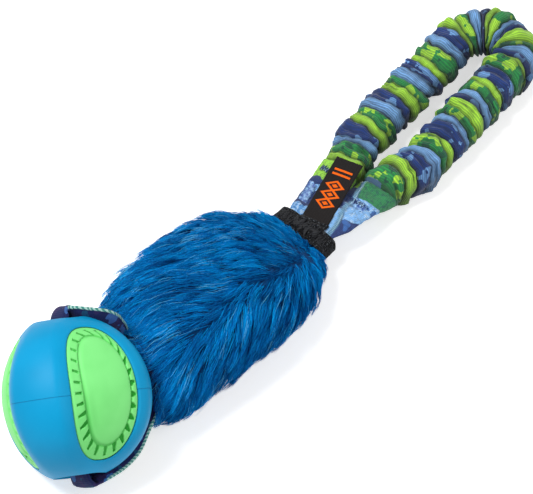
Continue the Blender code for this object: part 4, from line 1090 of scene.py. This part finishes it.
def on_handle(along, across, height):
    """Points given along the handle's own middle line, across it and above the table."""
    return np.stack(np.broadcast_arrays(
        HANDLE_ROOT_X + along * math.cos(HANDLE_TURN) - across * math.sin(HANDLE_TURN),
        HANDLE_ROOT_Y + along * math.sin(HANDLE_TURN) + across * math.cos(HANDLE_TURN), height,
    ), -1)


def base_station(share, side):
    """Middle across, height, width and thickness of a sewn base; the right one spreads at its root."""
    across = between(ROOT_PLACES[side], side * ROOT_OFFSET, share)
    width = between(ROOT_WIDTH, STRAND_WIDTH, np.interp(share, (0, 0.11, 0.26, 1), (0, 0, 1, 1)))
    folded = np.interp(share, (0, 0.11, 0.30, 0.62, 1), (0, 0, 1, 1.35, 1.35))
    cloth = between(FLAT_THICKNESS, FOLDED_THICKNESS, folded)
    thickness = between(cloth, STRAND_THICKNESS, eased((share - 0.55) / 0.45))
    height = between(BINDING_HEIGHT - side * LAP_HEIGHT, LOOP_HEIGHT, eased((share - 0.45) / 0.5))
    spread = ROOT_SPREAD * (1 - eased((share - 0.35) / 0.5)) * (side == RIGHT)
    return across - spread / 2, height, width + spread, thickness


def base_face(share, side, across_share, out):
    """Points on a base's upper face, or a little out from it."""
    across, height, width, thickness = base_station(share, side)
    rise = (1 - np.minimum(np.abs(across_share), 0.9999) ** BASE_POWER) ** (1 / BASE_POWER)
    along = between(BASE_FROM, BASE_TO, share)
    return on_handle(along, across + width / 2 * across_share, height + thickness / 2 * rise + out)


def lap_line(along):
    """Place across the handle where the left base's flap ends on the right base."""
    return between(LAP_FROM, LAP_TO, (along - LAP_START) / LAP_LENGTH) + 0.0004 * np.sin(along * 420)


def base_dyes_and_painted_light(knit, side):
    """The striped knit's colours over a base, with painted highlight and shade patches and painted shade in its
    wrinkles; the right one shows the left one's flap and its hem.
    """
    spot = knit.place()
    along, across = knit.mark("along"), knit.mark("across")
    blot, painted_light_patches = knit.cloud(spot, 190.0, 1.5), knit.cloud(spot, 620.0, 2.0, 0.55)
    speck, wrinkle = knit.cloud(spot, 900.0, 3.0, 0.6), knit.cloud(spot, 330.0, 3.0, 0.55)
    shifted = along + (blot - 0.5) * 0.0075
    cross_ribs = along.wave(8200.0)
    navy, lime = (14, 42, 106), (162, 228, 58)
    # Painted light: where this cloud is high the sky blue takes a paler painted highlight and the green a darker
    # painted shade.
    sky = knit.blend(painted_light_patches > 0.56, (132, 188, 244), (174, 210, 246))
    if side == LEFT:
        knit_colour = knit.blend(shifted > 0.0135, knit.blend(painted_light_patches > 0.50, (88, 154, 220), sky), navy)
        knit_colour = knit.blend(blot > 0.60, knit_colour, sky)
        knit_colour = knit.blend(shifted > 0.0290, knit_colour, lime)
    else:
        green = knit.blend(painted_light_patches > 0.58, (32, 130, 64), (24, 102, 64))
        knit_colour = knit.blend(shifted + across * 0.55 > 0.0085, navy, sky)
        knit_colour = knit.blend(blot < 0.40, knit_colour, (44, 96, 168))
        knit_colour = knit.blend(shifted > 0.0300, knit_colour, green)
        flap = knit.blend(shifted > 0.0330, knit.blend(shifted > 0.0180, sky, navy), lime)
        hem = knit.blend(cross_ribs.step(0.2, 0.6), (40, 84, 128), (140, 192, 220))
        knit_colour = knit.blend(knit.mark("strip"), knit.blend(knit.mark("lap"), knit_colour, flap), hem)
    knit_colour = knit.blend(cross_ribs * 0.24 + speck.step(0.4, 0.8) * 0.16, knit_colour, (14, 34, 70))
    knit_colour = knit.blend(across.wave(9000.0) * 0.05, knit_colour, (190, 220, 240))
    # Painted shade: thin dark lines along the wrinkles of the cloth.
    wrinkle_shade = 1 - (wrinkle - 0.5).size().step(0.0, 0.045)
    knit.dress(
        knit.blend(wrinkle_shade * 0.42, knit_colour, (8, 20, 60)),
        roughness=0.78 + 0.14 * speck, relief=cross_ribs * 0.00014 + speck * 0.0003,
    )


elastic_weave = Finish("elastic_weave", (30, 31, 36), 0.75)
spot = elastic_weave.place()
cross = elastic_weave.along(spot, (5200.0, 0.0, 0.0)).sine()
cross = cross * elastic_weave.along(spot, (0.0, 4200.0, 3000.0)).sine()
elastic_weave.dress(
    elastic_weave.blend(cross.step(-0.7, 0.7), (16, 17, 20), (52, 54, 60)),
    relief=cross * 0.0002,
)

for side, side_name in ((LEFT, "left"), (RIGHT, "right")):
    reach, rise = squared(turns_of(BASE_COLUMNS), 2 / BASE_POWER)
    rings, marks = [], []
    for share in np.arange(BASE_ROWS) / (BASE_ROWS - 1):
        across, height, width, thickness = base_station(share, side)
        along = between(BASE_FROM, BASE_TO, share)
        place = across + width / 2 * reach
        soft = wobble(along * 190, place * 260, side * 4.0 + rise)
        fold = wobble(along * 420, place * 90, side * 9.0)
        tack_along, reach_along, tack_across, reach_across = TACK_HOLLOWS[side]
        tack = hump(along - tack_along, reach_along) * hump(place - tack_across, reach_across)
        bulge = SOFT_SWELL * soft + FOLD_SWELL * fold - TACK_DIP * tack
        from_lap = place - lap_line(along)
        lap = eased(from_lap / 0.00035 + 0.5) * (rise > 0) * (side == RIGHT)
        bulge += LAP_STEP * lap - LAP_GROOVE * hump(from_lap + 0.0005, 0.0004) * (side == RIGHT)
        bulge *= eased((share - 0.16) / 0.2)
        rings.append(on_handle(along, place + bulge * 0.3 * reach, height + (thickness / 2 + bulge) * rise))
        strip = lap * eased((LAP_HEM - from_lap) / 0.0003 + 0.5)
        marks.append(np.stack([np.full(BASE_COLUMNS, along), place, lap, strip]))
    base_knit = Finish(f"base_knit_{side_name}", (60, 110, 190), 0.85, sheen_weight=0.12, sheen_roughness=0.5)
    base_dyes_and_painted_light(base_knit, side)
    columns = dict(zip(("along", "across", "lap", "strip"), np.concatenate(marks, 1)))
    base = tube_piece(f"sewn_base_{side_name}", rings, base_knit, **columns)
    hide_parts(f"handle_base_{side_name}")
    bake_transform(base)

    reach, rise = squared(turns_of(ELASTIC_COLUMNS), 0.77)
    rings = []
    for share in np.arange(ELASTIC_ROWS) / (ELASTIC_ROWS - 1):
        across, height, width, thickness = base_station(share, side)
        half_width = min(width / 2 - ELASTIC_INSET, between(width, 2 * CORD_RADIUS, eased(share)) / 2) * 0.86
        half_thickness = min(thickness / 2 - ELASTIC_SUNK, CORD_RADIUS) * 0.8
        along = between(BASE_FROM, BASE_TO, share) + 0.0006
        rings.append(on_handle(along, across + half_width * reach, height + half_thickness * rise))
    end = tube_piece(f"flat_elastic_{side_name}", rings, elastic_weave)
    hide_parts(f"elastic_end_{side_name}")
    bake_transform(end)

# --- Thread on the bases ------------------------------------------------------------------
# A close satin tack over each base, a few long navy and pale stitches beside it, and the pale
# edge stitch that holds the left base's flap down on the right base.
TACK_STOPS, EDGE_STOPS = 30, 60
EDGE_FROM, EDGE_TO = 0.0068, 0.0390
EDGE_IN = 0.00035
satin_thread = Finish("satin_thread", (70, 120, 196), 0.34, specular_ior_level=0.6)
sheen = satin_thread.cloud(satin_thread.place(), 700.0)
# The paler patches are a painted sheen highlight on the satin.
satin_thread.set("Base Color", satin_thread.blend(sheen.step(0.35, 0.7), (44, 86, 164), (158, 200, 236)))
satin_thread.set("Roughness", 0.28 + 0.2 * sheen)
pale_thread = Finish("pale_thread", (196, 224, 236), 0.5)
navy_thread = Finish("navy_thread", (20, 34, 84), 0.45)
for thread, dark, light in (
    (pale_thread, (112, 160, 186), (190, 218, 228)), (navy_thread, (12, 20, 58), (40, 62, 128)),
):
    ply = thread.along(thread.place(), PLY_WAY).wave(1.0)
    thread.set("Base Color", thread.blend(ply, dark, light))
along_way = (math.cos(HANDLE_TURN), math.sin(HANDLE_TURN), 0)
across_way = (-math.sin(HANDLE_TURN), math.cos(HANDLE_TURN), 0)
for name, side, shares, acrosses, way, stitches, reach, thickness, finish in (
    ("satin_tack_left", LEFT, (0.38, 0.66), (0.62, 0.66), across_way, 84, 0.0022, 0.00011, satin_thread),
    ("navy_tack_left", LEFT, (0.87, 0.87), (0.28, 0.76), along_way, 10, 0.0017, 0.00016, navy_thread),
    ("pale_tack_left", LEFT, (0.865, 0.865), (0.34, 0.62), along_way, 6, 0.0009, 0.00014, pale_thread),
    ("satin_tack_right", RIGHT, (0.62, 0.66), (-0.62, 0.20), along_way, 84, 0.0024, 0.00011, satin_thread),
    ("navy_tack_right", RIGHT, (0.655, 0.655), (-0.50, 0.30), along_way, 12, 0.0013, 0.00016, navy_thread),
    ("pale_tack_right", RIGHT, (0.67, 0.67), (-0.36, -0.02), along_way, 7, 0.0008, 0.00014, pale_thread),
):
    satin = finish is satin_thread
    out = thickness + (-0.0002 if satin else 0.0001)
    stops = base_face(np.linspace(*shares, TACK_STOPS), side, np.linspace(*acrosses, TACK_STOPS), out)
    piece = sewn_line(
        name, stops, way, finish, stitches=stitches, reach=reach, thickness=thickness,
        loose=0.00016 if satin else 0.0004, sink=0.00006, seed=len(name),
    )
    if satin:
        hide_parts(f"base_bartack_{'left' if side == LEFT else 'right'}")
    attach(piece, "handle")

along = np.linspace(EDGE_FROM, EDGE_TO, EDGE_STOPS)
share = (along - BASE_FROM) / (BASE_TO - BASE_FROM)
across, _, width, _ = base_station(share, RIGHT)
across_share = np.minimum((lap_line(along) + EDGE_IN - across) / (width / 2), 0.96)
edge = sewn_line(
    "lap_edge_stitch", base_face(share, RIGHT, across_share, 0.00050), across_way, pale_thread,
    stitches=74, reach=0.00026, thickness=0.00012, loose=0.00008, sink=0.00010, seed=2,
)
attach(edge, "handle")

# --- Ruched tube --------------------------------------------------------------------------
# One tube of striped knit pushed together over the bungee: up the left strand, round the bend
# and down the right one. It lies in fat rolls, closed tight on the inside of the bend.
STRAND_START, STRAND_END = 0.039, 0.126
STRAND_OFFSET = 0.0142
BEND_REACH = 0.0153
BEND_LEAD = 0.0012
STRAND_LENGTH = STRAND_END + BEND_LEAD - STRAND_START
BEND_LENGTH = math.pi * (BEND_REACH + STRAND_OFFSET) / 2
TUBE_LENGTH = 2 * STRAND_LENGTH + BEND_LENGTH
TUBE_RADIUS = 0.0103
TUBE_HALF_HEIGHT = 0.0100
TUBE_COLUMNS = 104
ROLL_ROWS = 14
FULL_ROOM, FULL_ROLL = 0.005, 0.0042
FIRST_CREASE, CREASE_SCALE = 3.0, 1.25
TILT, SECOND_TILT = 0.32, 0.16
SLOW_SWAY, LEAN, LEAN_CHANGE, RIPPLE = 0.0030, 0.0020, 0.0018, 0.0011
BEND_SLIP, STRAND_SLIP = 0.02, 0.07
FIRST_TAPER, LAST_TAPER = 0.11, 0.07
EARS, EAR_HEIGHTS, EAR_REACHES = 4, (0.0003, 0.0014), (0.12, 0.25)
PINCH_DEPTH = 0.0019
PINCHED_FROM, PINCHED_OVER = 3.4, 1.6
WRINKLE, CRUMPLE = 0.00055, 0.00095
DEEP = 0.003
CLOTH_PER_ROW = 0.0010
LOOK_AHEAD = 0.0004
FIRST_BEND_ROLL, LAST_BEND_ROLL = 14, 27
# Each roll's share of the tube's length, and the depth of the crease after it, in millimetres.
CLOTH_ROLLS = (
    (5.0, 1.0), (6.5, 3.4), (5.0, 1.1), (6.0, 3.5), (5.5, 1.3), (5.0, 3.3), (5.5, 1.0), (6.0, 3.6), (5.0, 1.4),
    (6.0, 3.5), (5.0, 1.0), (6.0, 3.5), (3.5, 1.5), (8.5, 3.8), (5.0, 1.3), (5.0, 3.6), (5.5, 3.0), (3.5, 2.6),
    (5.0, 2.9), (3.5, 2.6), (3.5, 2.4), (3.5, 2.9), (4.0, 2.6), (3.0, 2.6), (4.5, 2.7), (2.5, 2.4), (4.0, 2.7),
    (3.7, 3.2), (1.5, 0.3), (7.0, 3.6), (1.5, 0.3), (6.5, 3.6), (2.6, 1.3), (6.3, 3.6), (4.6, 0.8), (1.6, 3.4),
    (5.5, 2.8), (5.3, 3.4), (4.0, 1.1), (6.5, 3.6), (4.5, 1.5), (6.0, 3.6), (5.5, 1.3), (6.0, 3.6), (5.5, 2.8),
    (8.0, 1.6),
)
LAST_ROLL = len(CLOTH_ROLLS) - 1


def tube_middle(run):
    """Places along and across the handle of the line through both strands and the bend."""
    turn = np.clip(run - STRAND_LENGTH, 0, BEND_LENGTH) * math.pi / BEND_LENGTH
    to_bend = np.maximum(STRAND_LENGTH - run, 0) + np.maximum(run - STRAND_LENGTH - BEND_LENGTH, 0)
    along = STRAND_END + BEND_LEAD - to_bend
    across = between(ROOT_OFFSET, STRAND_OFFSET, eased((along - STRAND_START - 0.003) / 0.019))
    return along + BEND_REACH * np.sin(turn), across * np.cos(turn)


def round_loop(run, side, lift):
    """Points beside the loop's middle line and above it, at distances along it."""
    along, across = tube_middle(run)
    along_ahead, across_ahead = tube_middle(run + LOOK_AHEAD)
    heading = np.arctan2(across_ahead - across, along_ahead - along)
    return on_handle(along - np.sin(heading) * side, across + np.cos(heading) * side, LOOP_HEIGHT + lift)


roll_widths, roll_depths = np.array(CLOTH_ROLLS).T
crease_runs = np.concatenate([[0.0], np.cumsum(roll_widths)]) / roll_widths.sum() * TUBE_LENGTH
crease_depths = np.concatenate([[FIRST_CREASE], roll_depths * CREASE_SCALE]) / 1000
chance = np.random.default_rng(27)
around = turns_of(TUBE_COLUMNS)
ring_side, ring_lift = squared(around, 0.94)
cosine, sine = np.cos(around), np.sin(around)
crease_lines, depth_lines = [], []
for i, run in enumerate(crease_runs):
    room = min(np.diff(crease_runs)[max(i - 1, 0)], np.diff(crease_runs)[min(i, LAST_ROLL)])
    tilt = chance.uniform(0.3, 1.0) * TILT * room
    second = chance.uniform(0.2, 1.0) * SECOND_TILT * room
    lean = chance.uniform(0, 2 * math.pi)
    sway = tilt * np.cos(around - lean) + second * np.cos(2 * around - chance.uniform(0, 6.28))
    sway += SLOW_SWAY * wobble(i * 0.37, 2.0, 0.0) * min(room / FULL_ROOM, 1) * cosine
    sway -= (LEAN + LEAN_CHANGE * wobble(i * 0.41, 8.0, 0.0)) * sine
    sway += RIPPLE * wobble(2.3 * cosine, 2.3 * sine, i * 5.1) * min(room / FULL_ROOM, 1)
    crease_lines.append(run + sway * (i not in (0, LAST_ROLL + 1)))
    swell = 1 - chance.uniform(0.05, 0.45) * (0.5 + 0.5 * np.cos(around - chance.uniform(0, 6.28)))
    depth_lines.append(crease_depths[i] * swell)

tube_rings, tube_marks = [], []
for i in range(LAST_ROLL + 1):
    wide = crease_lines[i + 1] - crease_lines[i]
    slip = BEND_SLIP if FIRST_BEND_ROLL <= i <= LAST_BEND_ROLL else STRAND_SLIP
    fullness = 1 + chance.uniform(-0.07, 0.02)
    fullness += slip * np.cos(around - chance.choice((0, math.pi)) - chance.uniform(-0.4, 0.4))
    fullness -= FIRST_TAPER * (i == 0) + LAST_TAPER * (i == LAST_ROLL)
    ears = np.zeros(TUBE_COLUMNS)
    for _ in range(EARS):
        away = np.angle(np.exp(1j * (around - chance.uniform(0, 6.28))))
        ears += chance.uniform(*EAR_HEIGHTS) * hump(away, chance.uniform(*EAR_REACHES))
    pinch_share, pinch_at = chance.uniform(0.30, 0.70), chance.uniform(0, 2.6)
    pinch = hump(np.angle(np.exp(1j * (around - pinch_at))), chance.uniform(0.5, 1.0))
    pinch = pinch * PINCH_DEPTH * min(1.0, max(0.0, roll_widths[i] - PINCHED_FROM) / PINCHED_OVER)
    pinch_line = pinch_share + 0.10 * np.sin(around * 2 + pinch_at)
    narrow = np.minimum(wide / FULL_ROLL, 1) ** 0.5
    for turn in math.pi * np.arange(ROLL_ROWS + (i == LAST_ROLL)) / ROLL_ROWS:
        rise = math.sin(turn) ** 0.95
        share = 0.5 - 0.5 * math.cos(turn) * (1 + 0.30 * math.sin(turn) ** 2)
        below = between(depth_lines[i], depth_lines[i + 1], share) * (1 - rise * narrow)
        below = below - ears * rise ** 3 * narrow + pinch * hump(share - pinch_line, 0.10)
        run = crease_lines[i] + wide * share
        wrinkle = WRINKLE * wobble(run * 620, cosine * 1.7, sine * 1.7)
        crumple = CRUMPLE * wobble(run * 170, cosine * 2.4 + 9, sine * 2.4)
        reach = fullness - (below - wrinkle - crumple) / TUBE_RADIUS
        ring = round_loop(run, ring_side * TUBE_RADIUS * reach, ring_lift * TUBE_HALF_HEIGHT * reach)
        ring[:, 2] = np.maximum(ring[:, 2], 0.0002 + 0.0006 * np.minimum(below / 0.002, 1.5))
        tube_rings.append(ring)
        # The marks: the stripe band, painted shade in the creases and towards the rolls' edges, painted shade on
        # the tube's lower side, and the run of cloth.
        tube_marks.append(np.stack(np.broadcast_arrays(
            i + share, np.maximum(np.clip(below / DEEP, 0, 1), 0.55 * (1 - rise) ** 0.7),
            eased(0.62 - 0.9 * sine), CLOTH_PER_ROW * len(tube_rings),
        )))

ruched_knit = Finish("ruched_knit", (46, 139, 69), 0.86, sheen_weight=0.12, sheen_roughness=0.5)
spot = ruched_knit.place()
patch = ruched_knit.cloud(spot, 125.0, 2.5, 0.55)
speck = ruched_knit.cloud(spot, 420.0, 3.0, 0.6)
in_repeat = (ruched_knit.mark("band") + (patch - 0.5) * 0.35) % 4.0
lime = (186, 250, 66)
green = ruched_knit.blend(patch < 0.40, (40, 154, 72), (22, 100, 62))
green = ruched_knit.blend(patch > 0.562, green, lime)
navy = ruched_knit.blend(patch > 0.550, (16, 56, 132), (122, 176, 240))
knit_colour = ruched_knit.blend(in_repeat > 1.0, lime, green)
knit_colour = ruched_knit.blend(in_repeat > 2.0, knit_colour, (138, 194, 255))
knit_colour = ruched_knit.blend(in_repeat > 3.0, knit_colour, navy)
rib = ruched_knit.mark("cloth").wave(5600.0)
knit_colour = ruched_knit.blend(rib * 0.44 + speck.step(0.35, 0.75) * 0.16, knit_colour, (10, 34, 54))
# Painted shade: near black in the creases and towards the rolls' edges.
knit_colour = ruched_knit.blend(ruched_knit.mark("deep") ** 0.55 * 0.96, knit_colour, (4, 9, 22))
# Painted shade: a dark blue over the tube's lower side.
ruched_knit.dress(
    ruched_knit.blend(ruched_knit.mark("low") * 0.74, knit_colour, (4, 20, 36)),
    roughness=0.80 + 0.14 * speck, relief=rib * 0.00020 + speck * 0.00028,
)

columns = dict(zip(("band", "deep", "low", "cloth"), np.concatenate(tube_marks, 1)))
tube = tube_piece("ruched_tube", tube_rings, ruched_knit, **columns)
stretch_from, stretch_to = [Vector(on_handle(along, 0, LOOP_HEIGHT)) for along in (STRAND_START, STRAND_END)]
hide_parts("ruched_tube_left", "ruched_tube_right", "ruched_tube_bend")
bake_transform(tube)

# --- Bungee cord --------------------------------------------------------------------------
# A round elastic cord in a braided black cover, running unbroken inside the ruched tube from one
# flat end to the other. It is what stretches when the handle is pulled.
CORD_ROWS, CORD_COLUMNS = 190, 20
CORD_GAP = 0.0006
around = turns_of(CORD_COLUMNS)
cord_runs = np.linspace(CORD_GAP, TUBE_LENGTH - CORD_GAP, CORD_ROWS)
cord_rings = [round_loop(run, CORD_RADIUS * np.cos(around), CORD_RADIUS * np.sin(around)) for run in cord_runs]
cord_braid = Finish("cord_braid", (28, 29, 34), 0.7)
along, round_cord = cord_braid.mark("along") * 4200.0, cord_braid.mark("round") * 9.0
braid = (along + round_cord).sine() * (along - round_cord).sine()
cord_braid.dress(
    cord_braid.blend(braid.step(-0.7, 0.7), (14, 15, 18), (58, 60, 68)),
    roughness=0.62 + 0.16 * braid, relief=braid * 0.0003,
)
cord = tube_piece(
    "bungee_cord", cord_rings, cord_braid,
    along=np.repeat(cord_runs, CORD_COLUMNS), round=np.tile(np.sin(around), CORD_ROWS),
)
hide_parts("bungee_core_left", "bungee_core_right", "bungee_core_bend")
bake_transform(cord)

# --- Woven label --------------------------------------------------------------------------
# A folded black ribbon sewn to the binding by one end. It carries a plain woven ornament of
# orange lozenges and two bars.
LABEL_LENGTH = 0.0337
LABEL_WIDTH = 0.0124
LABEL_THICKNESS = 0.0007
SIDE_ROUNDING, END_ROUNDING = 0.0005, 0.0006
LABEL_BEAD, BEAD_INSET = 0.00010, 0.0007
LABEL_BOW, LABEL_RIPPLE = 0.00035, 0.00012
LABEL_ROOT = Vector((0.06853, -0.0012, 0.01595))
LABEL_TURN, LABEL_RISE = math.radians(15.2), math.radians(7.0)
LABEL_ROWS, LABEL_COLUMNS = 90, 36
LOZENGES = (0.0096, 0.0144, 0.0192)
LOZENGE_HALF_LENGTH, LOZENGE_HALF_WIDTH = 0.0030, 0.0046
BARS = (0.0252, 0.0276)
BAR_HALF_LENGTH, BAR_HALF_WIDTH = 0.00055, 0.0042
label_seat = Matrix.Translation(LABEL_ROOT) @ Matrix.Rotation(LABEL_TURN, 4, "Z")
label_seat = label_seat @ Matrix.Rotation(-LABEL_RISE, 4, "Y")
along, across = np.meshgrid(
    np.linspace(0, LABEL_LENGTH, LABEL_ROWS), np.linspace(-0.5, 0.5, LABEL_COLUMNS) * LABEL_WIDTH,
    indexing="ij",
)
from_edge = LABEL_WIDTH / 2 - np.abs(across)
edge = np.minimum(from_edge / SIDE_ROUNDING, (LABEL_LENGTH - along) / END_ROUNDING).clip(0, 1)
half_thickness = LABEL_THICKNESS / 2 * (0.55 + 0.45 * np.sqrt(edge))
half_thickness += LABEL_BEAD * hump(from_edge - BEAD_INSET, 0.0003)
bow = LABEL_BOW * np.sin(math.pi * along / LABEL_LENGTH) + LABEL_RIPPLE * np.sin(across * 420 + along * 90)
label_points = [
    label_seat @ Vector(place) for face in (1, -1)
    for place in np.stack([along, across, face * half_thickness + bow * 0.8], -1).reshape(-1, 3)
]

ribbon = Finish("woven_ribbon", (32, 30, 30), 0.8, specular_ior_level=0.12)
along_label, across_label = ribbon.mark("along"), ribbon.mark("across")
fray = ribbon.cloud(ribbon.place(), 1800.0)
weft, warp = along_label.wave(11000.0), across_label.wave(11000.0)
ground = ribbon.blend(weft * 0.5 + warp * 0.3, (14, 12, 12), (46, 42, 42))
aside = across_label.size()
mark = 0.0
for middle in LOZENGES:
    far = (along_label - middle).size() / LOZENGE_HALF_LENGTH + aside / LOZENGE_HALF_WIDTH
    mark = mark + (far < 1.0) * (1 - (far < 0.62)) + (far < 0.34)
for middle in BARS:
    mark = mark + ((along_label - middle).size() < BAR_HALF_LENGTH) * (aside < BAR_HALF_WIDTH)
mark = mark.lesser(1.0)
orange = ribbon.blend(weft * 0.35 + fray * 0.2, (255, 112, 22), (198, 74, 12))
ribbon.dress(
    ribbon.blend(mark, ground, orange),
    roughness=0.66 + 0.16 * fray, relief=weft * 0.00010 + warp * 0.00006 + mark * 0.00012 + fray * 0.0001,
)

label = piece_from("woven_label", label_points, slab_faces(LABEL_ROWS, LABEL_COLUMNS), ribbon)
facing_out(marked(label, along=np.tile(along.ravel(), 2), across=np.tile(across.ravel(), 2)))
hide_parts("label")
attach(label, "label")

# --- White table and soft light -----------------------------------------------------------
# A plain white table, a large soft lamp high on the left behind the camera, a weaker one on the
# right, and an even pale sky all round.
TABLE_HALF_WIDTH = 3
TABLE_WHITE = (0.80, 0.80, 0.80, 1.0)
TABLE_GLOW = (0.58, 0.58, 0.58, 1.0)
SKY_STRENGTH = 0.30
WHITE = (1.0, 1.0, 1.0, 1.0)
LIT_POINT = Vector((0.04, 0, 0.02))
# Each lamp's name, place, power and size.
LAMPS = (("key", (-0.62, 0.40, 1.45), 24.0, 0.6), ("fill", (0.3, -1.2, 1.1), 9.0, 1.2))


def seen_straight(bench):
    """1 on a ray that shows the surface itself, and 0 on one that only brings its light."""
    ray = bench.add("LightPath")
    seen = ray.part("Is Camera Ray") + ray.part("Is Glossy Ray") + ray.part("Is Transmission Ray")
    return seen.lesser(1.0)


corners = [(x * TABLE_HALF_WIDTH, y * TABLE_HALF_WIDTH, 0) for x, y in ((-1, -1), (1, -1), (1, 1), (-1, 1))]
table_white = Finish("table_white", (231, 231, 231), 0.9, specular_ior_level=0.0, emission_strength=1.0)
table_white.set("Base Color", TABLE_WHITE)
glow = {0: seen_straight(table_white), 6: (0.0, 0.0, 0.0, 1.0), 7: TABLE_GLOW}
table_white.set("Emission Color", table_white.add("Mix", {"data_type": "RGBA"}, glow, out=2))
piece_from("white_table", corners, [(0, 1, 2, 3)], table_white)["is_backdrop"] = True

world = bpy.data.worlds.new("studio")
scene.world = world
world.use_nodes = True
studio = Bench(world.node_tree)
sky = studio.add("Background", {}, {"Color": WHITE, "Strength": SKY_STRENGTH})
shown_sky = studio.add("Background", {}, {"Color": WHITE})
choice = studio.add("MixShader", {}, (seen_straight(studio), sky, shown_sky))
world.node_tree.links.new(choice.socket, world.node_tree.nodes["World Output"].inputs["Surface"])
for name, place, energy, size in LAMPS:
    lamp_data = bpy.data.lights.new(name, "AREA")
    lamp_data.energy = energy
    lamp_data.size = size
    lamp = bpy.data.objects.new(name, lamp_data)
    lamp.location = place
    lamp.rotation_euler = (LIT_POINT - Vector(place)).to_track_quat("-Z", "Y").to_euler()
    scene.collection.objects.link(lamp)

low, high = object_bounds()
